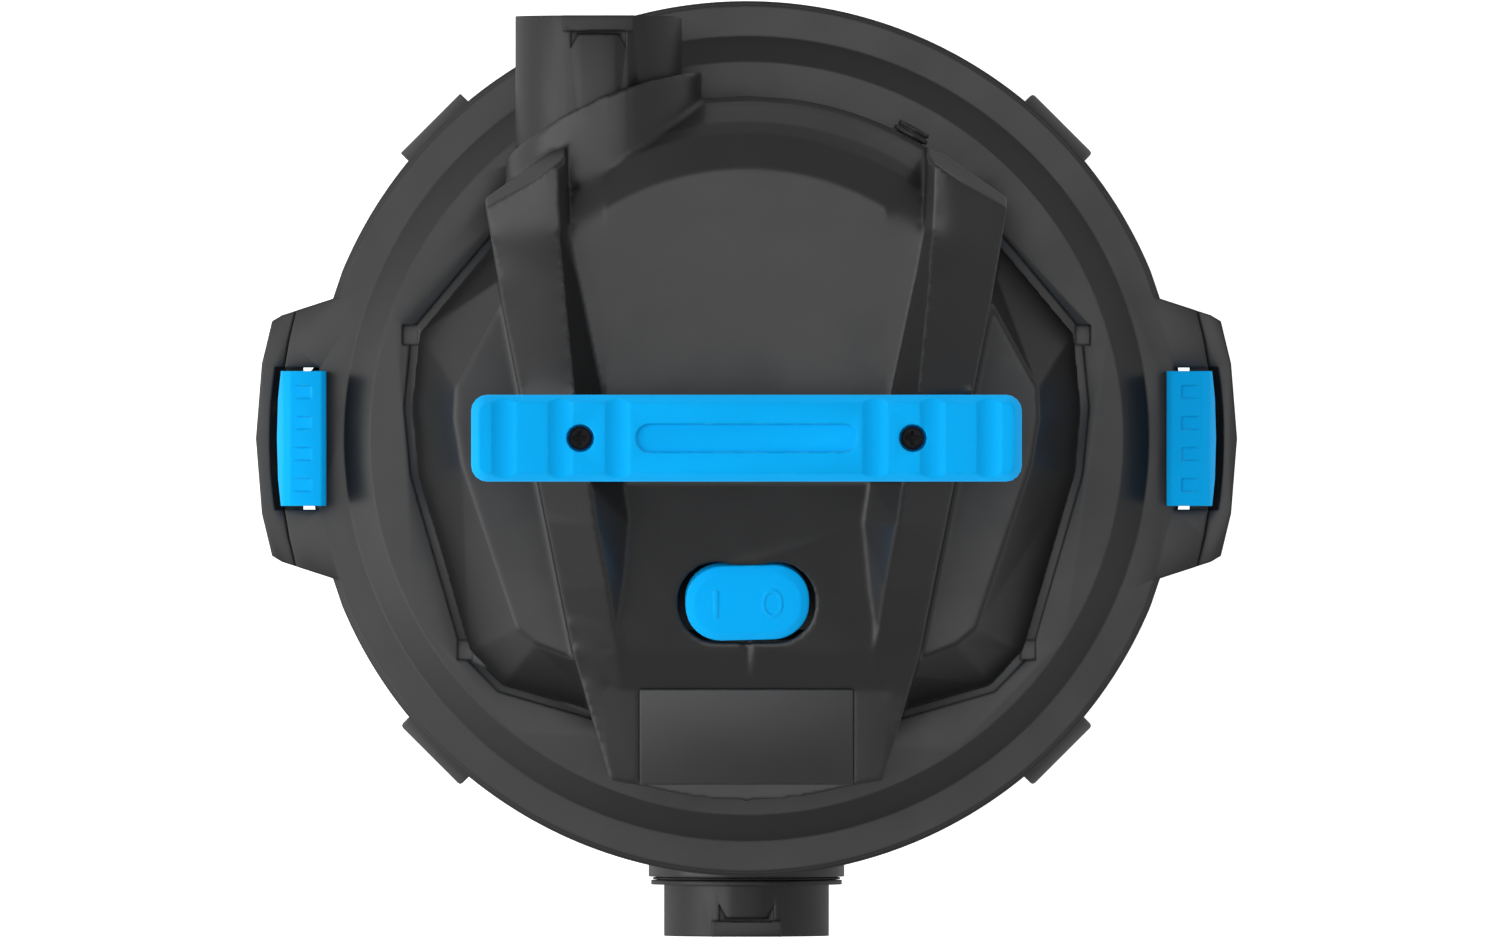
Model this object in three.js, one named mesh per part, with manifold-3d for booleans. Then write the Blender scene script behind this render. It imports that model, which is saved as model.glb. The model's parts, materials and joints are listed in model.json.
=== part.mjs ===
// Shop vacuum: a round drum on four casters, with a lift-off head that holds
// the motor, the fan, the filter, a bar handle and a rocker switch.
// Millimetres, +Z up, floor at z = 0. The hose inlet faces -Y.

import * as THREE from 'three';
import { mergeVertices } from 'three/addons/utils/BufferGeometryUtils.js';
import Module from 'manifold-3d';

const wasm = await Module();
wasm.setup();

// ---------------------------------------------------------------------------
// Driving dimensions
// ---------------------------------------------------------------------------

const GAP = 0.3; // clearance between pieces that rest on each other
const WALL = 3; // moulded wall of the covers

// Drum
const DRUM_UNDERSIDE = 70;
const DRUM_HEIGHT = 368.6;
const DRUM_WALL = 3;
const DRUM_BASE_RADIUS = 152;
const DRUM_TOP_RADIUS = 170;
const DRUM_CORNER = 12;
const RIM_RADIUS = 175.3;
const RIM_HEIGHT = 12;

// Side ears that carry the latches and the finger grips
const EAR_REACH = 196.5;
const EAR_HALF_WIDTH = 56;
const EAR_DEPTH = 34;
const EAR_SEAM = 186.9;
const EAR_SEAM_RADIUS = 200;
const EAR_SKIN = 4;
const EAR_LIP = 6;

// Casters
const WHEEL_RADIUS = 20;
const WHEEL_WIDTH = 18;
const WHEEL_BORE = 2.8;
const CASTER_TRAIL = 14;
const CASTER_CIRCLE = 145;
const FOOT_UNDERSIDE = 50;
const FOOT_WIDTH = 34.8;
const FOOT_REACH = 184;
const FOOT_INNER = 122;
const FOOT_TOP = 104;
const STEM_RADIUS = 4;
const STEM_LENGTH = 14;
const FORK_PLATE = 4;
const FORK_LEG = 3;

// Lid
const LID_RADIUS = 173.9;
const LID_LIP = 8;
const LID_STEP_OUTER = 161.1;
const LID_STEP_INNER = 150.8;
const LID_STEP_HEIGHT = 11;
const LID_DECK = 7;
const LID_SKIRT_DEPTH = 26;
const LID_RECESS = 2.5;
const LID_GROOVE = 2.9;

// Motor cover
const LEAF_HEIGHT = 45;
const DISH_HEIGHT = 92;
const SHOULDER_OUTER = 136.7;
// The roll-off behind the dish, as distance from the axis and drop below it.
const SHOULDER = [[107, 0], [121, 7.5], [126, 14], [131, 25], [134.5, 35], [136.7, 45]];
const POST_HEIGHT = 125.6;

// Handle
const HANDLE_LENGTH = 218;
const HANDLE_WIDTH = 34.4;
const HANDLE_THICKNESS = 26;
const HANDLE_CORNER = 3.8;
const HANDLE_CHAMFER = 3.2;
const HANDLE_GROOVE_WIDTH = 10;
const HANDLE_GROOVE_DEPTH = 1.6;
const HANDLE_GROOVES = [51, 73.7, 96];
const PILL_LENGTH = 87.6;
const PILL_WIDTH = 11.3;
const HANDLE_SCREW_SPACING = 131.6;
const HANDLE_SCREW_HOLE = 5.5;
const SCREW_HEAD_RADIUS = 4.55;
const SCREW_SHANK_RADIUS = 2.2;

// Hose ports
const PORT_RADIUS = 33.2;
const PORT_BORE = 29;
const BRIDGE_HALF = 11;
const BRIDGE_DEPTH = 6.4;
const WINDOW_DEPTH = 3.4;
const WINDOW_LEG = 3.6;
const INLET_REACH = 200.1;
const INLET_DROP = 75;
const INLET_BOSS_MARGIN = 6.2;
const INLET_BOSS_REACH = 176.2;
const DEFLECTOR_MARGIN = 6.8;
const DEFLECTOR_DROP = 4;
const DEFLECTOR_DEPTH = 40;
const BLOWER_REACH = 168.4;
const BLOWER_OFFSET = -59;
const BLOWER_CLEARANCE = 1.8;
const COLLAR_OFFSET = -57;
const COLLAR_MARGIN = 5.8;
const COLLAR_REACH = 147.6;

// Switch, in the hand pocket
const SWITCH_Y = -65.5;
const SWITCH_LENGTH = 49.2;
const SWITCH_WIDTH = 31.1;
const SWITCH_CORNER = 14.4;
const SWITCH_MARGIN_X = 2.6;
const SWITCH_MARGIN_Y = 1.3;
const SWITCH_REST_TILT = 4;

// Nameplate
const PLATE_WIDTH = 85.2;
const PLATE_NEAR = -100;
const PLATE_FAR = -138.7;
const PLATE_THICKNESS = 1.2;

// Latches
const LATCH_INNER = 168.1;
const LATCH_OUTER = 187.9;
const LATCH_LENGTH = 54;
const LATCH_BOW = 1.6;
const LATCH_RISE = 12;
const LATCH_PIVOT_X = 181;
const LATCH_PIVOT_RISE = 1;
const LATCH_PIN_RADIUS = 1.8;
const LATCH_SLOT = 1.6;
const LATCH_SWEEP = 9.4;
const LATCH_SLOT_INNER = 172;
const LATCH_SLOT_OUTER = 177.5;
const LUG_RADIUS = 3.2;
const LUG_INSET = [17, 13];
const LUG_NOTCH = 1.1;

// Motor, fan and filter
const SHAFT_RADIUS = 5;
const ROTOR_RADIUS = 22;
const STATOR_BORE = 24;
const STATOR_LENGTH = 88;
const STATOR_WIDTH = 76;
const STATOR_HEIGHT = 42;
const FAN_CHAMBER_RADIUS = 80;
const FAN_CHAMBER_DEPTH = 44;
const LID_OPENING = 84;
const EYE_RADIUS = 25;
const IMPELLER_RADIUS = 62;
const FILTER_RADIUS = 65;
const FILTER_BORE = 48;
const FILTER_HEIGHT = 134;
const CAGE_RADIUS = 40;
const FLOAT_RADIUS = 29;

// Exhaust duct
const DUCT_HALF_WIDTH = 27;
const DUCT_BACK = 112;
const DUCT_CLEARANCE = 0.5;

// Drain and cord gland
const DRAIN_HEIGHT = 30;
const DRAIN_BORE = 13;
const DRAIN_REACH = 163;
const GLAND_ANGLE = 61.6;
const GLAND_RISE = 38;
const GLAND_RADIUS = 6;

// Heights that follow from the stack
const RIM_TOP = DRUM_UNDERSIDE + DRUM_HEIGHT;
const DRUM_NECK = RIM_TOP - RIM_HEIGHT - 4;
const LID_TOP = RIM_TOP + LID_LIP + 0.4;
const DECK_TOP = LID_TOP + LID_STEP_HEIGHT;
const DUCT_TOP = LID_TOP + 66;
const DUCT_BOTTOM = LID_TOP - 40;
const INLET_Z = LID_TOP - INLET_DROP;
const BLOWER_Z = DECK_TOP + PORT_RADIUS + BLOWER_CLEARANCE;
const INLET_BOSS_RADIUS = PORT_RADIUS + INLET_BOSS_MARGIN;
const COLLAR_RADIUS = PORT_RADIUS + COLLAR_MARGIN;

// The origin is the middle of the footprint, on the floor.
const CENTRE_SHIFT = (INLET_REACH - RIM_RADIUS) / 2;

// ---------------------------------------------------------------------------
// Geometry helpers
// ---------------------------------------------------------------------------

const radians = THREE.MathUtils.degToRad;
// Sides of the round pieces: the drum and lid, the ports and filter, small
// turned pieces, and pins.
const ROUND = 48;
const MEDIUM = 32;
const SMALL = 20;
const TINY = 10;

// Turns a closed three.js geometry into a solid that can be joined and cut.
function toSolid(geometry) {
  const bare = geometry.index ? geometry.toNonIndexed() : geometry;
  bare.deleteAttribute('normal');
  bare.deleteAttribute('uv');
  const merged = mergeVertices(bare, 1e-4);
  const position = merged.getAttribute('position');
  const index = merged.getIndex().array;
  const triangles = [];
  const corner = [new THREE.Vector3(), new THREE.Vector3(), new THREE.Vector3()];
  let volume = 0;
  for (let i = 0; i < index.length; i += 3) {
    const face = [index[i], index[i + 1], index[i + 2]];
    if (new Set(face).size < 3) continue;
    face.forEach((vertex, k) => corner[k].fromBufferAttribute(position, vertex));
    volume += corner[0].dot(corner[1].clone().cross(corner[2]));
    triangles.push(face);
  }
  if (volume < 0) triangles.forEach((face) => face.reverse());
  return new wasm.Manifold(
    new wasm.Mesh({
      numProp: 3,
      vertProperties: Float32Array.from(position.array),
      triVerts: Uint32Array.from(triangles.flat()),
    }),
  );
}

function toGeometry(solid) {
  const mesh = solid.getMesh();
  const geometry = new THREE.BufferGeometry();
  geometry.setAttribute('position', new THREE.BufferAttribute(mesh.vertProperties, 3));
  geometry.setIndex(new THREE.BufferAttribute(mesh.triVerts, 1));
  geometry.computeVertexNormals();
  return geometry;
}

const join = (...solids) => solids.reduce((whole, solid) => whole.add(solid));
const cut = (solid, ...tools) => tools.reduce((left, tool) => left.subtract(tool), solid);

function box(x0, x1, y0, y1, z0, z1) {
  const geometry = new THREE.BoxGeometry(x1 - x0, y1 - y0, z1 - z0);
  geometry.translate((x0 + x1) / 2, (y0 + y1) / 2, (z0 + z1) / 2);
  return toSolid(geometry);
}

// A solid of revolution about Z. The profile is a list of [radius, height].
function lathe(profile, segments = MEDIUM) {
  const points = profile.map(([radius, height]) => new THREE.Vector2(radius, height));
  const touchesAxis = profile[0][0] === 0 && profile[profile.length - 1][0] === 0;
  if (!touchesAxis) points.push(points[0].clone());
  return toSolid(new THREE.LatheGeometry(points, segments).rotateX(Math.PI / 2));
}

// A round bar from one height to another along an axis through (a, b), where
// (a, b) is (y, z) for 'x', (x, z) for 'y' and (x, y) for 'z'.
function rod(axis, radius, from, to, a = 0, b = 0, segments = SMALL) {
  const geometry = new THREE.CylinderGeometry(radius, radius, to - from, segments);
  geometry.translate(0, (from + to) / 2, 0);
  if (axis === 'x') geometry.rotateZ(-Math.PI / 2).translate(0, a, b);
  if (axis === 'y') geometry.translate(a, 0, b);
  if (axis === 'z') geometry.rotateX(Math.PI / 2).translate(a, b, 0);
  return toSolid(geometry);
}

function shapeOf(points) {
  return new THREE.Shape(points.map(([x, y]) => new THREE.Vector2(x, y)));
}

function extrude(shape, from, to, curveSegments = 8) {
  const settings = { depth: to - from, bevelEnabled: false, curveSegments };
  return new THREE.ExtrudeGeometry(shape, settings).translate(0, 0, from);
}

const prism = (points, from, to) => toSolid(extrude(shapeOf(points), from, to));

// Extrudes a shape drawn in the XZ plane along Y.
function extrudeAlongY(shape, from, to, curveSegments = 8) {
  const geometry = extrude(shape, 0, to - from, curveSegments);
  return toSolid(geometry.rotateX(Math.PI / 2).translate(0, to, 0));
}

function roundedRectangle(length, width, radius) {
  const x = length / 2 - radius;
  const y = width / 2 - radius;
  const shape = new THREE.Shape();
  shape.absarc(x, y, radius, 0, Math.PI / 2);
  shape.absarc(-x, y, radius, Math.PI / 2, Math.PI);
  shape.absarc(-x, -y, radius, Math.PI, Math.PI * 1.5);
  shape.absarc(x, -y, radius, Math.PI * 1.5, Math.PI * 2);
  return shape;
}

// Two distances from the middle, ordered on one side of it.
const span = (side, from, to) => [side * from, side * to].sort((a, b) => a - b);

const mirrored = (left) => [...left, ...left.map(([x, y]) => [-x, y]).reverse()];

// Moves every side of a counter-clockwise outline inwards by one distance.
function inset(points, distance) {
  const count = points.length;
  return points.map((point, i) => {
    const before = points[(i + count - 1) % count];
    const after = points[(i + 1) % count];
    const [ax, ay] = unitNormal(before, point);
    const [bx, by] = unitNormal(point, after);
    const scale = distance / (1 + ax * bx + ay * by);
    return [point[0] + (ax + bx) * scale, point[1] + (ay + by) * scale];
  });
}

// The normal of a side that points into a counter-clockwise outline.
function unitNormal([x0, y0], [x1, y1]) {
  const length = Math.hypot(x1 - x0, y1 - y0);
  return [(y0 - y1) / length, (x1 - x0) / length];
}

// A prism whose top outline differs from its base outline, point by point.
function taperedPrism(base, top, from, to) {
  const geometry = extrude(shapeOf(base), from, to);
  const position = geometry.getAttribute('position');
  for (let i = 0; i < position.count; i += 1) {
    if (position.getZ(i) < to - 1e-3) continue;
    const k = nearestPoint(base, position.getX(i), position.getY(i));
    position.setXY(i, top[k][0], top[k][1]);
  }
  return toSolid(geometry);
}

function nearestPoint(points, x, y) {
  const distances = points.map(([px, py]) => Math.hypot(px - x, py - y));
  return distances.indexOf(Math.min(...distances));
}

function arc(radius, fromDegrees, toDegrees, steps) {
  return Array.from({ length: steps + 1 }, (_, i) => {
    const angle = radians(fromDegrees + ((toDegrees - fromDegrees) * i) / steps);
    return [radius * Math.cos(angle), radius * Math.sin(angle)];
  });
}

// ---------------------------------------------------------------------------
// Scene graph helpers
// ---------------------------------------------------------------------------

const group = new THREE.Group();
group.position.y = CENTRE_SHIFT;

const BLACK_PLASTIC = [0x232325, 0.5, 0];
const DRUM_PLASTIC = [0x2b2b2d, 0.5, 0];
const BLUE_PLASTIC = [0x0a8fe0, 0.4, 0];
const GREY_PLASTIC = [0x55585c, 0.55, 0];
const RUBBER = [0x151515, 0.85, 0];
const STEEL = [0x9a9da1, 0.35, 1];
const COPPER = [0xb2683c, 0.4, 1];
const CARBON = [0x1d1d1f, 0.7, 0];
const PAPER = [0xe6e2d6, 0.9, 0];

function place(name, solid, [color, roughness, metalness], parent = group) {
  const material = new THREE.MeshStandardMaterial({ color, roughness, metalness });
  const mesh = new THREE.Mesh(toGeometry(solid), material);
  mesh.name = name;
  parent.add(mesh);
  return mesh;
}

const SIDES = [['left', -1], ['right', 1]];

// ---------------------------------------------------------------------------
// Drum
// ---------------------------------------------------------------------------

// The outside of the drum from its floor to its neck, grown by a clearance.
function drumSide(clearance) {
  const lower = DRUM_UNDERSIDE - clearance;
  const radius = DRUM_BASE_RADIUS + clearance;
  return [
    [0, lower],
    [radius - DRUM_CORNER, lower],
    [radius - DRUM_CORNER * 0.3, lower + DRUM_CORNER * 0.3],
    [radius, lower + DRUM_CORNER],
    [DRUM_TOP_RADIUS + clearance, DRUM_NECK],
  ];
}

// The outside radius of the tapered wall at a height.
function drumRadius(z) {
  const low = DRUM_UNDERSIDE + DRUM_CORNER;
  const share = (z - low) / (DRUM_NECK - low);
  return DRUM_BASE_RADIUS + (DRUM_TOP_RADIUS - DRUM_BASE_RADIUS) * share;
}

function drumShell() {
  const inner = DRUM_TOP_RADIUS - DRUM_WALL;
  return lathe([
    ...drumSide(0),
    [RIM_RADIUS, RIM_TOP - RIM_HEIGHT],
    [RIM_RADIUS, RIM_TOP - 1],
    [RIM_RADIUS - 1, RIM_TOP],
    [inner, RIM_TOP],
    [inner, DRUM_NECK],
    [DRUM_BASE_RADIUS - DRUM_WALL, DRUM_UNDERSIDE + DRUM_CORNER],
    [DRUM_BASE_RADIUS - DRUM_CORNER, DRUM_UNDERSIDE + DRUM_WALL],
    [0, DRUM_UNDERSIDE + DRUM_WALL],
  ], ROUND);
}

// The drum's outside, grown by a clearance and filled.
const drumEnvelope = (clearance) => lathe([...drumSide(clearance), [0, DRUM_NECK]], ROUND);

// The plan outline of both ears together, as one band across the drum.
function earOutline(reach, halfWidth) {
  const bulge = reach - 6.5;
  const side = [
    [RIM_RADIUS - 25, -halfWidth - 3.5],
    [RIM_RADIUS - 9.6, -halfWidth],
    [bulge - 4, -halfWidth + 6.6],
    [bulge, -halfWidth + 9],
    [reach - 2.4, -halfWidth + 26],
    [reach, 0],
    [reach - 2.4, halfWidth - 26],
    [bulge, halfWidth - 9],
    [bulge - 4, halfWidth - 6.6],
    [RIM_RADIUS - 9.6, halfWidth],
    [RIM_RADIUS - 25, halfWidth + 3.5],
  ];
  return [...side, ...side.map(([x, y]) => [-x, -y])];
}

const earBand = (from, to) => prism(earOutline(EAR_REACH, EAR_HALF_WIDTH), from, to);

// The seam where the lid's ears end and the drum's grips begin.
function insideSeam(clearance, from, to) {
  const centre = EAR_SEAM - EAR_SEAM_RADIUS;
  const radius = EAR_SEAM_RADIUS + clearance;
  const right = rod('z', radius, from, to, centre, 0, 2 * ROUND);
  const left = rod('z', radius, from, to, -centre, 0, 2 * ROUND);
  return right.intersect(left);
}

// Where a lug starts and ends along the latch.
function lugSpan(end, margin) {
  const [near, far] = LUG_INSET.map((inset) => LATCH_LENGTH / 2 - inset);
  return span(end, near - margin, far + margin);
}

// The room that an opening latch needs in the grip beside it.
function latchSweep(side) {
  const half = LATCH_LENGTH / 2 + LATCH_SLOT;
  const pivotZ = LID_TOP + LATCH_PIVOT_RISE;
  return rod('y', LATCH_SWEEP, -half, half, side * LATCH_PIVOT_X, pivotZ, SMALL);
}

function drumEars() {
  const top = RIM_TOP;
  const grip = LID_TOP - 4;
  const bottom = top - EAR_DEPTH;
  const core = rod('z', DRUM_TOP_RADIUS - 1, bottom - 1, grip + 1, 0, 0, ROUND);
  const lower = earBand(bottom, top);
  const sweeps = SIDES.map(([, side]) => latchSweep(side));
  const upper = cut(earBand(top - 1, grip), insideSeam(GAP, bottom, grip + 1), ...sweeps);
  let ears = join(lower, upper).subtract(core);
  for (const [, side] of SIDES) {
    // Finger pocket, open below, between the drum wall and the outer lip.
    const [x0, x1] = span(side, DRUM_TOP_RADIUS + 1, EAR_REACH - 3 - EAR_LIP);
    const half = EAR_HALF_WIDTH - 16;
    ears = ears.subtract(box(x0, x1, -half, half, bottom - 1, top - EAR_SKIN));
    for (const end of [-1, 1]) {
      // Slot beside each end of the latch.
      const [y0, y1] = span(end, LATCH_LENGTH / 2 - 5, LATCH_LENGTH / 2 + LATCH_SLOT);
      const [s0, s1] = span(side, LATCH_SLOT_INNER, LATCH_SLOT_OUTER);
      ears = ears.subtract(box(s0, s1, y0, y1, bottom - 1, top + 1));
      // Lug that carries the latch pin.
      const [l0, l1] = lugSpan(end, 0);
      const pivotX = side * LATCH_PIVOT_X;
      const pivotZ = LID_TOP + LATCH_PIVOT_RISE;
      const [b0, b1] = [pivotX - LUG_RADIUS, pivotX + LUG_RADIUS];
      ears = join(
        ears,
        box(b0, b1, l0, l1, top - EAR_SKIN, pivotZ),
        rod('y', LUG_RADIUS, l0, l1, pivotX, pivotZ, TINY + 2),
      );
      ears = ears.subtract(rod('y', LATCH_PIN_RADIUS + GAP, l0 - 1, l1 + 1, pivotX, pivotZ, TINY));
    }
  }
  return ears;
}

function tankDrum() {
  const inletBoss = rod('y', INLET_BOSS_RADIUS, -INLET_BOSS_REACH, -150, 0, INLET_Z, MEDIUM);
  const bossTrim = rod('z', DRUM_TOP_RADIUS - DRUM_WALL - 1, 0, RIM_TOP, 0, 0, ROUND);
  const drainZ = DRUM_UNDERSIDE + DRAIN_HEIGHT;
  const drainBoss = rod('y', DRAIN_BORE + 6, 140, DRAIN_REACH, 0, drainZ, SMALL);
  const drainTrim = rod('z', DRUM_BASE_RADIUS - DRUM_WALL, 0, drainZ + 40, 0, 0, ROUND);
  return cut(
    join(drumShell(), drumEars(), cut(inletBoss, bossTrim), cut(drainBoss, drainTrim)),
    rod('y', PORT_RADIUS + GAP, -INLET_BOSS_REACH - 1, -130, 0, INLET_Z, MEDIUM),
    rod('y', DRAIN_BORE, 120, DRAIN_REACH + 1, 0, drainZ, SMALL),
  );
}

place('tank_drum', tankDrum(), DRUM_PLASTIC);

// ---------------------------------------------------------------------------
// Hose ports
// ---------------------------------------------------------------------------

// A tube along Y with a locking bridge and window on top of its outer end.
// The end faces +Y when direction is 1 and -Y when it is -1.
function hosePort(innerEnd, outerEnd, x, z, direction) {
  const [y0, y1] = span(direction, innerEnd, outerEnd);
  const [b0, b1] = span(direction, outerEnd - BRIDGE_DEPTH, outerEnd);
  const [s0, s1] = span(direction, outerEnd - BRIDGE_DEPTH - 1.2, outerEnd - BRIDGE_DEPTH + 0.2);
  const near = direction * (outerEnd - BRIDGE_DEPTH);
  const far = direction * (outerEnd - BRIDGE_DEPTH - 6.8);
  const top = z + PORT_RADIUS;
  const deep = top - WINDOW_DEPTH;
  const slot = box(x - BRIDGE_HALF, x + BRIDGE_HALF, s0, s1, deep, top + 3);
  const legs = SIDES.map(([, side]) => {
    const outer = x + side * BRIDGE_HALF;
    const wedge = [[outer, near], [outer, far], [outer - side * WINDOW_LEG, near]];
    return prism(wedge, deep, top + 3);
  });
  const flat = BRIDGE_HALF + 3;
  return cut(
    join(
      rod('y', PORT_RADIUS, y0, y1, x, z, MEDIUM),
      box(x - flat, x + flat, b0, b1, z + 20, top + 0.4),
    ),
    rod('y', PORT_BORE, y0 - 1, y1 + 1, x, z, MEDIUM),
    slot,
    ...legs,
  );
}

function inletPort() {
  const tube = hosePort(150, INLET_REACH, 0, INLET_Z, -1);
  const face = -INLET_BOSS_REACH - 1.4;
  const flange = cut(
    rod('y', INLET_BOSS_RADIUS - 1, face - 1.8, face, 0, INLET_Z, MEDIUM),
    rod('y', PORT_RADIUS - 1, face - 3, face + 1, 0, INLET_Z, MEDIUM),
  );
  return join(tube, flange);
}

function inletGasket() {
  const face = -INLET_BOSS_REACH - GAP;
  return cut(
    rod('y', INLET_BOSS_RADIUS - 1.6, face - 0.8, face, 0, INLET_Z, MEDIUM),
    rod('y', PORT_RADIUS + GAP, face - 2, face + 1, 0, INLET_Z, MEDIUM),
  );
}

// A hood over the inner end of the inlet that turns the air downwards.
function inletDeflector() {
  const half = PORT_RADIUS + DEFLECTOR_MARGIN;
  const low = INLET_Z - half - DEFLECTOR_DROP;
  const high = INLET_Z + half;
  const wall = drumRadius(low) - DRUM_WALL;
  const back = -Math.sqrt(wall ** 2 - half ** 2) + 1;
  const front = back + DEFLECTOR_DEPTH;
  return cut(
    box(-half, half, back, front, low, high),
    box(-half + WALL, half - WALL, back + WALL, front - WALL, low - 1, high - WALL),
    rod('y', PORT_RADIUS + GAP, back - 1, back + WALL + 1, 0, INLET_Z, MEDIUM),
  );
}

place('inlet_port', inletPort(), BLACK_PLASTIC);
place('inlet_gasket', inletGasket(), RUBBER);
place('inlet_deflector', inletDeflector(), BLACK_PLASTIC);

// ---------------------------------------------------------------------------
// Drain
// ---------------------------------------------------------------------------

function drainGasket(z) {
  return cut(
    rod('y', DRAIN_BORE + 5, DRAIN_REACH + GAP, DRAIN_REACH + 1.8, 0, z, SMALL),
    rod('y', DRAIN_BORE, DRAIN_REACH, DRAIN_REACH + 3, 0, z, SMALL),
  );
}

function drainCap(z) {
  const face = DRAIN_REACH + 2.1;
  let cap = join(
    rod('y', DRAIN_BORE + 6, face, face + 6, 0, z, SMALL),
    rod('y', DRAIN_BORE - 1, DRAIN_REACH - 10, face + 1, 0, z, SMALL),
    box(-15, 15, face + 5, face + 9, z - 2.5, z + 2.5),
  );
  for (let i = 0; i < 8; i += 1) {
    const angle = radians(45 * i + 22.5);
    const x = (DRAIN_BORE + 6.6) * Math.cos(angle);
    const h = z + (DRAIN_BORE + 6.6) * Math.sin(angle);
    cap = cap.subtract(rod('y', 2.4, face - 1, face + 7, x, h, 8));
  }
  return cap;
}

place('drain_gasket', drainGasket(DRUM_UNDERSIDE + DRAIN_HEIGHT), RUBBER);
place('drain_cap', drainCap(DRUM_UNDERSIDE + DRAIN_HEIGHT), BLACK_PLASTIC);

// ---------------------------------------------------------------------------
// Casters, modelled about the stem axis with the wheel trailing towards +Y
// ---------------------------------------------------------------------------

function casterFoot() {
  const half = FOOT_WIDTH / 2;
  const side = new THREE.Shape();
  side.moveTo(FOOT_INNER, FOOT_UNDERSIDE);
  side.lineTo(FOOT_REACH, FOOT_UNDERSIDE);
  side.lineTo(FOOT_REACH, FOOT_TOP - 30);
  side.quadraticCurveTo(FOOT_REACH, FOOT_TOP - 8, FOOT_REACH - 14, FOOT_TOP);
  side.lineTo(FOOT_INNER, FOOT_TOP);
  const socketTop = FOOT_UNDERSIDE + STEM_LENGTH + GAP;
  return cut(
    extrudeAlongY(side, -half, half, 4),
    drumEnvelope(GAP),
    rod('z', STEM_RADIUS + GAP, FOOT_UNDERSIDE - 1, socketTop, CASTER_CIRCLE, 0, TINY),
  );
}

function casterFork() {
  const plateTop = FOOT_UNDERSIDE - 0.6;
  const plateLow = plateTop - FORK_PLATE;
  const clear = WHEEL_WIDTH / 2 + 0.6;
  const outer = clear + FORK_LEG;
  const leg = new THREE.Shape();
  leg.moveTo(-10, 0);
  leg.lineTo(CASTER_TRAIL + 10, 0);
  leg.lineTo(CASTER_TRAIL + 6, WHEEL_RADIUS - plateTop);
  leg.absarc(CASTER_TRAIL, WHEEL_RADIUS - plateTop, 6, 0, -Math.PI, true);
  const legs = [[-outer, -clear], [clear, outer]].map(([x0, x1]) => {
    const geometry = extrude(leg, 0, x1 - x0, 4);
    geometry.rotateX(Math.PI / 2).rotateZ(Math.PI / 2).translate(x0, 0, plateTop);
    return toSolid(geometry);
  });
  const plate = box(-outer, outer, -10, CASTER_TRAIL + 9, plateLow, plateTop);
  const stem = rod('z', STEM_RADIUS, plateTop - 1, FOOT_UNDERSIDE + STEM_LENGTH, 0, 0, TINY);
  const axleHole = rod('x', 2.5 + GAP, -outer - 1, outer + 1, CASTER_TRAIL, WHEEL_RADIUS, TINY);
  return cut(join(plate, stem, ...legs), axleHole);
}

function casterAxle() {
  const half = WHEEL_WIDTH / 2 + 0.6 + FORK_LEG + 1;
  return join(
    rod('x', 2.5, -half, half, CASTER_TRAIL, WHEEL_RADIUS, TINY),
    rod('x', 4, -half - 1.4, -half, CASTER_TRAIL, WHEEL_RADIUS, TINY),
    rod('x', 4, half, half + 1.4, CASTER_TRAIL, WHEEL_RADIUS, TINY),
  );
}

function casterWheel() {
  const half = WHEEL_WIDTH / 2;
  const profile = [
    [WHEEL_BORE, -half],
    [7, -half],
    [9, 2.5 - half],
    [15, 2.5 - half],
    [WHEEL_RADIUS - 1.5, -half],
    [WHEEL_RADIUS, 2 - half],
    [WHEEL_RADIUS, half - 2],
    [WHEEL_RADIUS - 1.5, half],
    [15, half - 2.5],
    [9, half - 2.5],
    [7, half],
    [WHEEL_BORE, half],
  ];
  const points = [...profile, profile[0]].map(([r, h]) => new THREE.Vector2(r, h));
  const geometry = new THREE.LatheGeometry(points, SMALL).rotateZ(-Math.PI / 2);
  return toSolid(geometry.translate(0, CASTER_TRAIL, WHEEL_RADIUS));
}

for (let i = 0; i < 4; i += 1) {
  const angle = radians(45 + 90 * i);
  const foot = new THREE.Group();
  foot.rotation.z = angle;
  group.add(foot);
  place(`caster_foot_${i + 1}`, casterFoot(), BLACK_PLASTIC, foot);
  const swivel = new THREE.Group();
  swivel.position.set(CASTER_CIRCLE * Math.cos(angle), CASTER_CIRCLE * Math.sin(angle), 0);
  group.add(swivel);
  place(`caster_fork_${i + 1}`, casterFork(), BLACK_PLASTIC, swivel);
  place(`caster_axle_${i + 1}`, casterAxle(), STEEL, swivel);
  place(`caster_wheel_${i + 1}`, casterWheel(), RUBBER, swivel);
}

// ---------------------------------------------------------------------------
// Latches, modelled for the right ear
// ---------------------------------------------------------------------------

function latchOutline(margin) {
  const half = LATCH_LENGTH / 2 - margin;
  const outer = LATCH_OUTER - margin;
  return [
    [LATCH_INNER + margin, -half],
    [outer - LATCH_BOW, -half],
    [outer - LATCH_BOW * 0.3, -half * 0.6],
    [outer, 0],
    [outer - LATCH_BOW * 0.3, half * 0.6],
    [outer - LATCH_BOW, half],
    [LATCH_INNER + margin, half],
  ];
}

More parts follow.
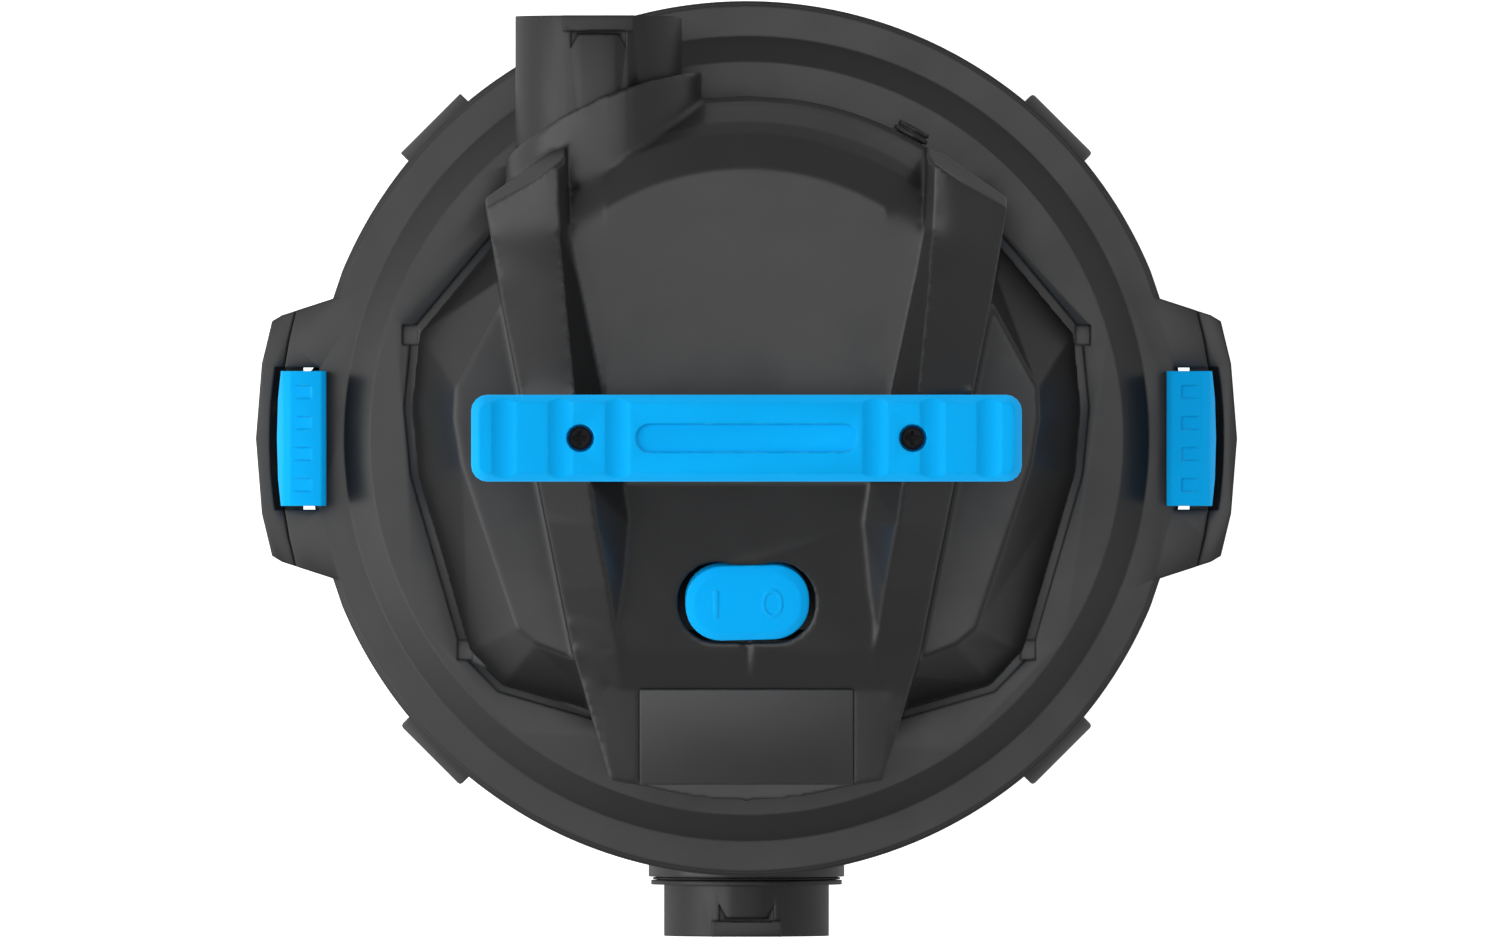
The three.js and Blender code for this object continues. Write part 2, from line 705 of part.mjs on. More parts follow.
function latch() {
  const base = LID_TOP + 0.4;
  const top = LID_TOP + LATCH_RISE;
  const pivotZ = LID_TOP + LATCH_PIVOT_RISE;
  const half = LATCH_LENGTH / 2;
  // Rounded outer shoulder, cut by a shape drawn in the XZ plane.
  const side = new THREE.Shape();
  side.moveTo(LATCH_INNER - 1, base);
  side.lineTo(LATCH_INNER - 1, top - 2);
  side.lineTo(LATCH_INNER + 2, top);
  side.lineTo(LATCH_OUTER - 9, top);
  side.quadraticCurveTo(LATCH_OUTER - 1, top - 1, LATCH_OUTER + 1, base + 3);
  side.lineTo(LATCH_OUTER + 1, base);
  const form = extrudeAlongY(side, -half - 1, half + 1, 4);
  let body = prism(latchOutline(0), base, top + 1).intersect(form);
  body = body.subtract(prism(latchOutline(2.4), base - 1, top - 3.2).intersect(
    box(LATCH_INNER + 5, LATCH_OUTER - 2, -half, half, base - 1, top - 3.2),
  ));
  // Recessed bands between the raised finger ribs.
  for (let i = -2; i <= 2; i += 1) {
    if (i === 0) continue;
    const y = i * 12.4 - Math.sign(i) * 6.2;
    body = body.subtract(box(LATCH_INNER + 6, LATCH_OUTER + 1, y - 2.6, y + 2.6, top - 0.7, top + 2));
  }
  for (const end of [-1, 1]) {
    const [y0, y1] = span(end, LATCH_LENGTH / 2 - 12, LATCH_LENGTH / 2 - 9);
    body = join(
      body,
      box(LATCH_PIVOT_X - 3.4, LATCH_PIVOT_X + 2, y0, y1, pivotZ, top - 3),
      rod('y', 3.4, y0, y1, LATCH_PIVOT_X, pivotZ, TINY + 2),
    );
    // Notch that lets the outer wall swing down past the lug.
    const [n0, n1] = lugSpan(end, LUG_NOTCH);
    const clear = pivotZ + LUG_RADIUS + LUG_NOTCH;
    body = body.subtract(box(LATCH_PIVOT_X + 2, LATCH_OUTER + 1, n0, n1, base - 1, clear));
  }
  return body.subtract(
    rod('y', LATCH_PIN_RADIUS + GAP, -19, 19, LATCH_PIVOT_X, pivotZ, TINY),
  );
}

for (const [name, side] of SIDES) {
  const turn = side > 0 ? 0 : Math.PI;
  const latchMesh = place(`latch_${name}`, latch(), BLUE_PLASTIC);
  latchMesh.rotation.z = turn;
  const pinZ = LID_TOP + LATCH_PIVOT_RISE;
  const pin = rod('y', LATCH_PIN_RADIUS, -18.5, 18.5, side * LATCH_PIVOT_X, pinZ, TINY);
  place(`latch_pin_${name}`, pin, STEEL);
}

// ---------------------------------------------------------------------------
// Motor cover outlines
// ---------------------------------------------------------------------------

// Foot of the cover's skirt, where it drops into the groove of the lid, and
// the edge of the flat leaf above it, point for point.
const SKIRT_FOOT = mirrored([
  [-90, 96],
  [-134.1, 43.4],
  [-137.1, 12],
  [-134.5, -14.6],
  [-113.7, -86.6],
  [-99.3, -101.4],
  [-55, -114.2],
]);
const SKIRT_EDGE = mirrored([
  [-90, 68.6],
  [-116.1, 20.6],
  [-116.7, 8],
  [-113.7, -10.2],
  [-91.7, -75.8],
  [-84.1, -82.2],
  [-55, -93.5],
]);

// Plan of the raised hump: tapered sides, a round back and a shallow bow in front.
const HUMP_FRONT = 142.6;
const HUMP_FRONT_BOW = 6;
const RIB_BACK_NEAR = [77.5, 114.2];
const RIB_BACK_FAR = [104.3, 95.4];
const RIB_BACK_RISE = 94;
const RIB_BEVEL_WIDTH = 5.5;
const RIB_BEVEL_DROP = 16;
const RIB_BEVEL_REACH = 42;
const HUMP_PLAN = [
  ...arc(SHOULDER_OUTER, 56.6, 123.4, 20),
  [-RIB_BACK_NEAR[0], RIB_BACK_NEAR[1]],
  [-RIB_BACK_FAR[0], RIB_BACK_FAR[1]],
  [-96.9, 51.8],
  [-82.7, -17.8],
  [-69.3, -85.4],
  [-54.5, HUMP_FRONT_BOW - HUMP_FRONT],
  [-28, 1.6 - HUMP_FRONT],
  [0, -HUMP_FRONT],
  [28, 1.6 - HUMP_FRONT],
  [54.5, HUMP_FRONT_BOW - HUMP_FRONT],
  [69.3, -85.4],
  [82.7, -17.8],
  [96.9, 51.8],
  RIB_BACK_FAR,
  RIB_BACK_NEAR,
];

// Stations along Y for the top of the hump: rib crest and rib foot, as
// distance from the middle and height above the lid, and the fall of the
// rib's outer slope per millimetre.
const HUMP_STATIONS = [
  { y: 160, crest: 78, crestRise: 98, foot: 73.5, footRise: 92, fall: 0.3 },
  { y: 83, crest: 75, crestRise: 98, foot: 70.5, footRise: 92, fall: 0.3 },
  { y: 64, crest: 73, crestRise: 105, foot: 67, footRise: 92, fall: 0.36 },
  { y: 19, crest: 68.5, crestRise: 121, foot: 57.5, footRise: 92, fall: 0.36 },
  { y: -18, crest: 62.1, crestRise: 119, foot: 49, footRise: 91.7, fall: 0.7 },
  { y: -34, crest: 60, crestRise: 107, foot: 46.5, footRise: 86.6, fall: 0.6 },
  { y: -60, crest: 55, crestRise: 86, foot: 49, footRise: 78.2, fall: 0.42 },
  { y: -74, crest: 52.9, crestRise: 76, foot: 51, footRise: 73.6, fall: 0.3 },
  { y: -85, crest: 51, crestRise: 70.4, foot: 49, footRise: 70, fall: 0.2 },
  { y: -100, crest: 50, crestRise: 63, foot: 48, footRise: 63, fall: 0.1 },
  { y: -160, crest: 45, crestRise: 51, foot: 44, footRise: 51, fall: 0.05 },
];

// The slab under the sculpted top, lofted from the stations. A section has a
// point at each rib's outer edge, crest and foot, and two below.
function humpLoft(lowered) {
  const reach = 112;
  const base = DECK_TOP - 20;
  const sections = HUMP_STATIONS.map((station) => {
    const edge = station.crestRise - station.fall * (reach - station.crest);
    const half = [[reach, edge], [station.crest, station.crestRise], [station.foot, station.footRise]];
    const right = half.map(([x, rise]) => [x, LID_TOP + rise - lowered]);
    return [...right, ...right.map(([x, z]) => [-x, z]).reverse(), [-reach, base], [reach, base]];
  });
  const outline = sections[0];
  const geometry = new THREE.ExtrudeGeometry(shapeOf(outline), {
    depth: sections.length - 1,
    steps: sections.length - 1,
    bevelEnabled: false,
  });
  const position = geometry.getAttribute('position');
  for (let i = 0; i < position.count; i += 1) {
    const k = nearestPoint(outline, position.getX(i), position.getY(i));
    const step = Math.round(position.getZ(i));
    const [x, z] = sections[step][k];
    position.setXYZ(i, x, HUMP_STATIONS[step].y, z);
  }
  return toSolid(geometry);
}

// Everything below the shoulder, which falls away towards the round back.
function belowShoulder(margin) {
  const top = LID_TOP + DISH_HEIGHT - margin;
  const rim = SHOULDER.map(([radius, drop]) => [radius - margin * 0.6, top - drop]);
  const low = DECK_TOP - 40;
  return lathe([[0, low], [rim[rim.length - 1][0], low], ...rim.reverse(), [0, top]], ROUND);
}

// What the rolled shoulder takes away between the feet of the two ribs.
function aboveShoulder(margin) {
  const behind = HUMP_STATIONS.filter(({ y }) => y > 0);
  const feet = behind.map(({ y, foot }) => [foot + margin, y]);
  const top = LID_TOP + POST_HEIGHT + 40;
  const channel = prism(mirrored(feet), DECK_TOP - 30, top);
  return channel.subtract(belowShoulder(margin));
}

// Bevels the top edge behind each rib, along the straight side of the plan.
function ribBevels(margin) {
  const [x0, y0] = RIB_BACK_NEAR;
  const [x1, y1] = RIB_BACK_FAR;
  const turn = Math.atan2(x1 - x0, y0 - y1);
  const top = LID_TOP + RIB_BACK_RISE - margin;
  const beyond = RIB_BEVEL_WIDTH + 3.5;
  const section = shapeOf([
    [-RIB_BEVEL_WIDTH - margin, top],
    [1 - margin, top - RIB_BEVEL_DROP],
    [beyond, top - RIB_BEVEL_DROP],
    [beyond, top + RIB_BEVEL_REACH],
    [-RIB_BEVEL_WIDTH - margin, top + RIB_BEVEL_REACH],
  ]);
  return SIDES.map(([, side]) => {
    const long = toGeometry(extrudeAlongY(section, -RIB_BEVEL_REACH, RIB_BEVEL_REACH));
    long.rotateZ(side > 0 ? turn : Math.PI - turn);
    return toSolid(long.translate((side * (x0 + x1)) / 2, (y0 + y1) / 2, 0));
  });
}

function humpSolid(margin, base) {
  const top = LID_TOP + POST_HEIGHT + 30;
  const form = prism(inset(HUMP_PLAN, margin), base, top).intersect(humpLoft(margin));
  return cut(form, aboveShoulder(margin), ...ribBevels(margin));
}

function skirtSolid(margin, base) {
  const foot = inset(SKIRT_FOOT, LID_GROOVE + margin);
  const edge = inset(SKIRT_EDGE, margin);
  return taperedPrism(foot, edge, base, LID_TOP + LEAF_HEIGHT - margin);
}

// The arched collar that the blower port comes out of.
function collarSolid(margin, base) {
  const radius = COLLAR_RADIUS - margin;
  const arch = new THREE.Shape();
  arch.moveTo(radius, base);
  arch.lineTo(radius, BLOWER_Z);
  arch.absarc(0, BLOWER_Z, radius, 0, Math.PI);
  arch.lineTo(-radius, base);
  const long = extrudeAlongY(arch, 70, COLLAR_REACH + 10, 20);
  const moved = toSolid(toGeometry(long).translate(COLLAR_OFFSET, 0, 0));
  return moved.intersect(rod('z', COLLAR_REACH - margin, base - 1, BLOWER_Z + 60, 0, 0, ROUND));
}

const pocketSlope = Math.atan2(91.7 - 70, 85 - 18);
const pocketFloor = LID_TOP + 91.7 - Math.tan(pocketSlope) * (-18 - SWITCH_Y);
const plateSlope = Math.atan2(63 - 51, 60);
const plateNearZ = LID_TOP + 63;

// Places a solid, drawn flat about the switch centre, on the pocket floor.
function onPocketFloor(geometry) {
  return geometry.rotateX(pocketSlope).translate(0, SWITCH_Y, pocketFloor);
}

function switchRecess() {
  const shape = roundedRectangle(
    SWITCH_LENGTH + 2 * SWITCH_MARGIN_X,
    SWITCH_WIDTH + 2 * SWITCH_MARGIN_Y,
    SWITCH_CORNER + SWITCH_MARGIN_Y,
  );
  return toSolid(onPocketFloor(extrude(shape, -20, 20)));
}

function plateRecess() {
  const length = PLATE_NEAR - PLATE_FAR + 0.6;
  const geometry = new THREE.BoxGeometry(PLATE_WIDTH + 0.6, length, 6);
  geometry.translate(0, -length / 2 + 0.3, 3 - 1).rotateX(plateSlope);
  return toSolid(geometry.translate(0, PLATE_NEAR, plateNearZ));
}

function motorCover() {
  const seat = DECK_TOP - LID_RECESS + GAP;
  const base = DECK_TOP + 0.4;
  const postInner = 50;
  const postOuter = 85;
  const posts = SIDES.map(([, side]) => {
    const [x0, x1] = span(side, postInner, postOuter);
    return box(x0, x1, -13, 13, LID_TOP + 80, LID_TOP + POST_HEIGHT);
  });
  const outside = join(
    skirtSolid(0, seat),
    humpSolid(0, base),
    collarSolid(0, base),
    ...posts,
  );
  const inside = join(
    skirtSolid(WALL, seat - 5),
    humpSolid(WALL, seat - 5),
    collarSolid(WALL, seat - 5),
  );
  const screwHoles = SIDES.map(([, side]) => {
    const x = side * HANDLE_SCREW_SPACING / 2;
    return rod('z', SCREW_SHANK_RADIUS + GAP, LID_TOP + 100, LID_TOP + 140, x, 0, TINY);
  });
  const glandHole = toSolid(
    new THREE.CylinderGeometry(GLAND_RADIUS + GAP, GLAND_RADIUS + GAP, 40, TINY + 4)
      .rotateZ(-Math.PI / 2)
      .translate(SHOULDER_OUTER, 0, 0)
      .rotateZ(radians(GLAND_ANGLE))
      .translate(0, 0, LID_TOP + GLAND_RISE),
  );
  const drainGroove = toSolid(
    onPocketFloor(new THREE.BoxGeometry(4, 24, 3).translate(0, -28, 0)),
  );
  return cut(
    outside,
    inside,
    rod('y', PORT_RADIUS + GAP, DUCT_BACK - 4, COLLAR_REACH + 5, BLOWER_OFFSET, BLOWER_Z, MEDIUM),
    switchRecess(),
    plateRecess(),
    drainGroove,
    glandHole,
    ...screwHoles,
  );
}

place('motor_cover', motorCover(), BLACK_PLASTIC);

// ---------------------------------------------------------------------------
// Blower port and the duct that feeds it
// ---------------------------------------------------------------------------

function ductEnvelope(margin) {
  const half = DUCT_HALF_WIDTH + margin;
  return cut(
    box(
      BLOWER_OFFSET - half, BLOWER_OFFSET + half, 60, DUCT_BACK + margin,
      DUCT_BOTTOM - margin, DUCT_TOP + margin,
    ),
    rod('z', FAN_CHAMBER_RADIUS + 0.4 - margin, DUCT_BOTTOM - 5, DUCT_TOP + 5, 0, 0, ROUND),
  );
}

function exhaustDuct() {
  const half = DUCT_HALF_WIDTH - WALL;
  const chamberTop = LID_TOP - 10;
  return cut(
    ductEnvelope(0),
    ductEnvelope(-WALL),
    box(BLOWER_OFFSET - half, BLOWER_OFFSET + half, 40, 100, chamberTop - 26, chamberTop),
    rod('y', 19.5, 100, DUCT_BACK + 1, BLOWER_OFFSET, BLOWER_Z - 2, SMALL),
  );
}

place('blower_port', hosePort(DUCT_BACK + 4, BLOWER_REACH, BLOWER_OFFSET, BLOWER_Z, 1), BLACK_PLASTIC);
place('exhaust_duct', exhaustDuct(), GREY_PLASTIC);

// ---------------------------------------------------------------------------
// Lid
// ---------------------------------------------------------------------------

function lidShell() {
  const skirt = LID_STEP_OUTER + 0.4;
  const deck = DECK_TOP - LID_DECK;
  return lathe([
    [LID_OPENING, deck],
    [LID_STEP_INNER - 2.3, deck],
    [LID_STEP_OUTER - 2.6, LID_TOP - 5],
    [skirt, LID_TOP - 5],
    [skirt, LID_TOP - LID_SKIRT_DEPTH],
    [skirt + WALL, LID_TOP - LID_SKIRT_DEPTH],
    [skirt + WALL, LID_TOP - WALL],
    [LID_RADIUS - WALL, LID_TOP - WALL],
    [LID_RADIUS - WALL, LID_TOP - LID_LIP],
    [LID_RADIUS, LID_TOP - LID_LIP],
    [LID_RADIUS, LID_TOP - 0.8],
    [LID_RADIUS - 0.8, LID_TOP],
    [LID_STEP_OUTER, LID_TOP],
    [LID_STEP_INNER, DECK_TOP],
    [LID_OPENING, DECK_TOP],
  ], ROUND);
}

function lid() {
  const low = LID_TOP - LID_LIP;
  const core = rod('z', LID_RADIUS - WALL, low - 1, LID_TOP + 1, 0, 0, ROUND);
  const ears = earBand(low, LID_TOP).intersect(insideSeam(0, low - 1, LID_TOP + 1)).subtract(core);
  let body = join(lidShell(), ears);
  const slot = LATCH_LENGTH / 2 + 1.4;
  for (const [, side] of SIDES) {
    const [x0, x1] = span(side, LATCH_SLOT_INNER - 1, EAR_REACH + 5);
    body = body.subtract(box(x0, x1, -slot, slot, low - 1, LID_TOP + 1));
    // Lifting notches in the groove around the motor cover.
    for (const [x, y] of [[134.6, 41.4], [112.6, -84.6]]) {
      const middle = side * x;
      body = body.subtract(box(middle - 3, middle + 3, y - 4, y + 4, DECK_TOP - 3, DECK_TOP + 1));
    }
  }
  return cut(
    body,
    prism(SKIRT_FOOT, DECK_TOP - LID_RECESS, DECK_TOP + 1),
    ductEnvelope(DUCT_CLEARANCE),
  );
}

function lidGasket() {
  const inner = LID_STEP_OUTER + 0.4 + WALL + GAP;
  const outer = LID_RADIUS - WALL - GAP;
  return lathe([
    [inner, RIM_TOP + GAP],
    [outer, RIM_TOP + GAP],
    [outer, LID_TOP - WALL - GAP],
    [inner, LID_TOP - WALL - GAP],
  ], ROUND);
}

place('lid', lid(), BLACK_PLASTIC);
place('lid_gasket', lidGasket(), RUBBER);

// ---------------------------------------------------------------------------
// Switch and nameplate
// ---------------------------------------------------------------------------

const SWITCH_TOP = 1.5;
const SWITCH_THICKNESS = 8;
const SWITCH_PIVOT = -5.6;
const SWITCH_PIN = 1.8;

function switchButton() {
  const chamfer = 3.4;
  const shape = roundedRectangle(
    SWITCH_LENGTH - 2 * chamfer,
    SWITCH_WIDTH - 2 * chamfer,
    SWITCH_CORNER - chamfer,
  );
  const cap = new THREE.ExtrudeGeometry(shape, {
    depth: SWITCH_THICKNESS - 3,
    bevelThickness: 1.5,
    bevelSize: chamfer,
    bevelSegments: 1,
    curveSegments: 4,
  }).translate(0, 0, SWITCH_TOP + 1.5 - SWITCH_THICKNESS);
  const pin = rod('y', SWITCH_PIN, -18, 18, 0, SWITCH_PIVOT, TINY);
  return toGeometry(join(toSolid(cap), pin))
    .translate(0, 0, -SWITCH_PIVOT)
    .rotateY(radians(SWITCH_REST_TILT))
    .translate(0, 0, SWITCH_PIVOT);
}

function switchBody() {
  const halfX = SWITCH_LENGTH / 2 + SWITCH_MARGIN_X;
  const halfY = SWITCH_WIDTH / 2 + SWITCH_MARGIN_Y;
  const top = -WALL - 0.4;
  const bottom = top - 18;
  return toGeometry(cut(
    box(-halfX - 3, halfX + 3, -halfY - 3, halfY + 3, bottom, top),
    box(-halfX, halfX, -halfY, halfY, bottom + 5, top + 1),
    rod('y', SWITCH_PIN + GAP, -halfY - 4, halfY + 4, 0, SWITCH_PIVOT, TINY),
  ));
}

function nameplate() {
  const length = PLATE_NEAR - PLATE_FAR;
  const geometry = new THREE.BoxGeometry(PLATE_WIDTH, length, PLATE_THICKNESS);
  geometry.translate(0, -length / 2, PLATE_THICKNESS / 2 - 1 + GAP).rotateX(plateSlope);
  return toSolid(geometry.translate(0, PLATE_NEAR, plateNearZ));
}

place('switch_button', toSolid(onPocketFloor(switchButton())), BLUE_PLASTIC);
place('switch_body', toSolid(onPocketFloor(switchBody())), BLACK_PLASTIC);
place('nameplate', nameplate(), BLACK_PLASTIC);

// ---------------------------------------------------------------------------
// Handle and cord gland
// ---------------------------------------------------------------------------

const HANDLE_BOTTOM = LID_TOP + POST_HEIGHT + GAP;
const HANDLE_TOP = HANDLE_BOTTOM + HANDLE_THICKNESS;
const SCREW_SINK = 4.5;
const SCREW_HEAD = 3;

function handle() {
  const shape = roundedRectangle(
    HANDLE_LENGTH - 2 * HANDLE_CHAMFER,
    HANDLE_WIDTH - 2 * HANDLE_CHAMFER,
    HANDLE_CORNER - 0.5,
  );
  let bar = toSolid(new THREE.ExtrudeGeometry(shape, {
    depth: HANDLE_THICKNESS - 2 * HANDLE_CHAMFER,
    bevelThickness: HANDLE_CHAMFER,
    bevelSize: HANDLE_CHAMFER,
    bevelSegments: 1,
    curveSegments: 2,
  }).translate(0, 0, HANDLE_BOTTOM + HANDLE_CHAMFER));
  const radius = (HANDLE_GROOVE_WIDTH ** 2 / 4 + HANDLE_GROOVE_DEPTH ** 2) / (2 * HANDLE_GROOVE_DEPTH);
  const grooveZ = HANDLE_TOP + radius - HANDLE_GROOVE_DEPTH;
  const reach = HANDLE_WIDTH / 2 - 1.7;
  for (const [, side] of SIDES) {
    for (const x of HANDLE_GROOVES) {
      bar = bar.subtract(rod('y', radius, -reach, reach, side * x, grooveZ, MEDIUM));
    }
    const screwX = side * HANDLE_SCREW_SPACING / 2;
    const seat = HANDLE_TOP - SCREW_SINK - SCREW_HEAD - GAP;
    bar = cut(
      bar,
      rod('z', HANDLE_SCREW_HOLE, seat, HANDLE_TOP + 1, screwX, 0, SMALL - 4),
      rod('z', SCREW_SHANK_RADIUS + GAP, HANDLE_BOTTOM - 1, HANDLE_TOP, screwX, 0, TINY),
    );
  }
  const pill = roundedRectangle(PILL_LENGTH, PILL_WIDTH, PILL_WIDTH / 2 - 0.05);
  return bar.subtract(toSolid(extrude(pill, HANDLE_TOP - HANDLE_GROOVE_DEPTH, HANDLE_TOP + 1)));
}

function handleScrew(x) {
  const top = HANDLE_TOP - SCREW_SINK;
  return cut(
    join(
      rod('z', SCREW_HEAD_RADIUS, top - SCREW_HEAD, top, x, 0, SMALL - 4),
      rod('z', SCREW_SHANK_RADIUS, LID_TOP + 102, top - 1, x, 0, TINY),
    ),
    box(x - 2.6, x + 2.6, -0.5, 0.5, top - 1.6, top + 1),
    box(x - 0.5, x + 0.5, -2.6, 2.6, top - 1.6, top + 1),
  );
}

function cordGland() {
  const wall = SHOULDER_OUTER;
  const points = [
    [3.6, wall - 5],
    [7.5, wall - 5],
    [7.5, wall - WALL - GAP],
    [GLAND_RADIUS, wall - WALL - GAP],
    [GLAND_RADIUS, wall + GAP],
    [7.5, wall + GAP],
    [7.5, wall + 1.9],
    [GLAND_RADIUS, wall + 2.3],
    [7, wall + 3.2],
    [6.6, wall + 4.6],
    [3.6, wall + 4.6],
  ];
  const profile = [...points, points[0]].map(([r, h]) => new THREE.Vector2(r, h));
  const geometry = new THREE.LatheGeometry(profile, TINY + 4).rotateZ(-Math.PI / 2);
  return toSolid(geometry.rotateZ(radians(GLAND_ANGLE)).translate(0, 0, LID_TOP + GLAND_RISE));
}

place('handle', handle(), BLUE_PLASTIC);
for (const [name, side] of SIDES) {
  place(`handle_screw_${name}`, handleScrew(side * HANDLE_SCREW_SPACING / 2), BLACK_PLASTIC);
}
place('cord_gland', cordGland(), RUBBER);

// ---------------------------------------------------------------------------
// Fan housing, motor and fan, all about the middle of the lid
// ---------------------------------------------------------------------------

const CHAMBER_FLOOR = LID_TOP - FAN_CHAMBER_DEPTH;
const BRACKET_TOP = LID_TOP - 4;
const CORE_LOW = LID_TOP + 14;
const CORE_HIGH = CORE_LOW + STATOR_HEIGHT;
const POST_X = 38;
const POST_Y = 33;
const BEARING_RADIUS = 11;
const BEARING_HEIGHT = 7;
const TOP_BEARING_RADIUS = 9;
const TOP_BEARING_LOW = CORE_HIGH + 17;
const SHAFT_TOP = TOP_BEARING_LOW + 8;

function fanHousing() {
  const deck = DECK_TOP - LID_DECK - GAP;
  const shell = lathe([
    [EYE_RADIUS, CHAMBER_FLOOR],
    [FAN_CHAMBER_RADIUS, CHAMBER_FLOOR],
    [FAN_CHAMBER_RADIUS, deck - WALL],
    [FAN_CHAMBER_RADIUS + 16, deck - WALL],
    [FAN_CHAMBER_RADIUS + 16, deck],
    [FAN_CHAMBER_RADIUS - WALL, deck],
    [FAN_CHAMBER_RADIUS - WALL, CHAMBER_FLOOR + WALL],
    [EYE_RADIUS, CHAMBER_FLOOR + WALL],
  ], ROUND);
  const half = DUCT_HALF_WIDTH - WALL;
  const chamberTop = LID_TOP - 10;
  return cut(
    shell,
    box(BLOWER_OFFSET - half, BLOWER_OFFSET + half, 30, 100, chamberTop - 26, chamberTop),
    ductEnvelope(DUCT_CLEARANCE),
  );
}

// Plate that closes the fan chamber and carries the stator on four posts.
function motorBracket() {
  const plate = lathe([
    [BEARING_RADIUS - 3, BRACKET_TOP - 4],
    [FAN_CHAMBER_RADIUS - WALL - GAP, BRACKET_TOP - 4],
    [FAN_CHAMBER_RADIUS - WALL - GAP, BRACKET_TOP],
    [BEARING_RADIUS + 4, BRACKET_TOP],
    [BEARING_RADIUS + 3, BRACKET_TOP + BEARING_HEIGHT + 1],
    [BEARING_RADIUS + GAP, BRACKET_TOP + BEARING_HEIGHT + 1],
    [BEARING_RADIUS + GAP, BRACKET_TOP],
    [BEARING_RADIUS - 3, BRACKET_TOP],
  ], SMALL + 4);
  const posts = [[1, 1], [1, -1], [-1, 1], [-1, -1]].map(([i, j]) =>
    rod('z', 4, BRACKET_TOP - 1, CORE_LOW - GAP, i * POST_X, j * POST_Y, TINY),
  );
  return join(plate, ...posts);
}

function bearing(outer, low, height) {
  return lathe([
    [SHAFT_RADIUS + GAP, low],
    [outer, low],
    [outer, low + height],
    [SHAFT_RADIUS + GAP, low + height],
  ], SMALL);
}

function coil(side) {
  const [x0, x1] = span(side, 29.5, 37.5);
  const low = CORE_LOW - 9;
  const high = CORE_HIGH + 9;
  return cut(
    box(x0, x1, -28, 28, low, high),
    box(x0 - 1, x1 + 1, -20, 20, low + 7, high - 7),
  );
}

function stator() {
  const block = toSolid(extrude(roundedRectangle(STATOR_LENGTH, STATOR_WIDTH, 8), CORE_LOW, CORE_HIGH, 3));
  const slots = [-1, 1].flatMap((i) => [-1, 1].map((j) => {
    const [x0, x1] = span(i, 29.2, 37.8);
    const [y0, y1] = span(j, 19.7, 28.3);
    return box(x0, x1, y0, y1, CORE_LOW - 1, CORE_HIGH + 1);
  }));
  return cut(block, rod('z', STATOR_BORE, CORE_LOW - 1, CORE_HIGH + 1, 0, 0, SMALL + 4), ...slots);
}

// Bridge over the stator with the upper bearing seat and the brush holders.
function motorFrame() {
  const low = CORE_HIGH + GAP;
  const high = TOP_BEARING_LOW + 4;
  const legs = [-1, 1].map((j) => {
    const [y0, y1] = span(j, 29, 37);
    return box(-11, 11, y0, y1, low, high);
  });
  const holders = [-1, 1].map((i) => {
    const [x0, x1] = span(i, 15, 28);
    return box(x0, x1, -7, 7, low + 1.4, high);
  });
  return cut(
    join(
      box(-11, 11, -37, 37, high - 4, high),
      box(-28, 28, -7, 7, high - 4, high),
      rod('z', TOP_BEARING_RADIUS + 3, high - 5, TOP_BEARING_LOW + 7, 0, 0, SMALL),
      ...legs,
      ...holders,
    ),
    rod('z', TOP_BEARING_RADIUS + GAP, TOP_BEARING_LOW - GAP, TOP_BEARING_LOW + 8, 0, 0, SMALL),
    rod('z', SHAFT_RADIUS + 1, high - 6, high, 0, 0, TINY + 2),
    box(-29, 29, -4.3, 4.3, low + 3.2, low + 11),
  );
}

function brush(side) {
  const [x0, x1] = span(side, 12.6, 27);
  return box(x0, x1, -4, 4, CORE_HIGH + 3.8, CORE_HIGH + 11);
}

place('fan_housing', fanHousing(), GREY_PLASTIC);
place('motor_bracket', motorBracket(), GREY_PLASTIC);
place('lower_bearing', bearing(BEARING_RADIUS, BRACKET_TOP + GAP, BEARING_HEIGHT), STEEL);
place('upper_bearing', bearing(TOP_BEARING_RADIUS, TOP_BEARING_LOW, 6.6), STEEL);
place('stator', stator(), STEEL);
place('motor_frame', motorFrame(), BLACK_PLASTIC);
for (const [name, side] of SIDES) {
  place(`field_coil_${name}`, coil(side), COPPER);
  place(`brush_${name}`, brush(side), CARBON);
}

// Rotor: everything here is threaded on the shaft with a small clearance.
function rotorCore() {
  let core = rod('z', ROTOR_RADIUS, CORE_LOW + 1, CORE_HIGH - 1, 0, 0, SMALL + 4);
  for (let i = 0; i < 12; i += 1) {
    const angle = radians(30 * i);
    const x = (ROTOR_RADIUS + 0.5) * Math.cos(angle);
    const y = (ROTOR_RADIUS + 0.5) * Math.sin(angle);
    core = core.subtract(rod('z', 1.8, CORE_LOW, CORE_HIGH, x, y, 4));
  }
  return core.subtract(rod('z', SHAFT_RADIUS + GAP, CORE_LOW, CORE_HIGH, 0, 0, TINY + 2));
}

function commutator() {
  return cut(
    rod('z', 12, CORE_HIGH + 2, CORE_HIGH + 13, 0, 0, SMALL),
    rod('z', SHAFT_RADIUS + GAP, CORE_HIGH + 1, CORE_HIGH + 14, 0, 0, TINY + 2),
  );
}

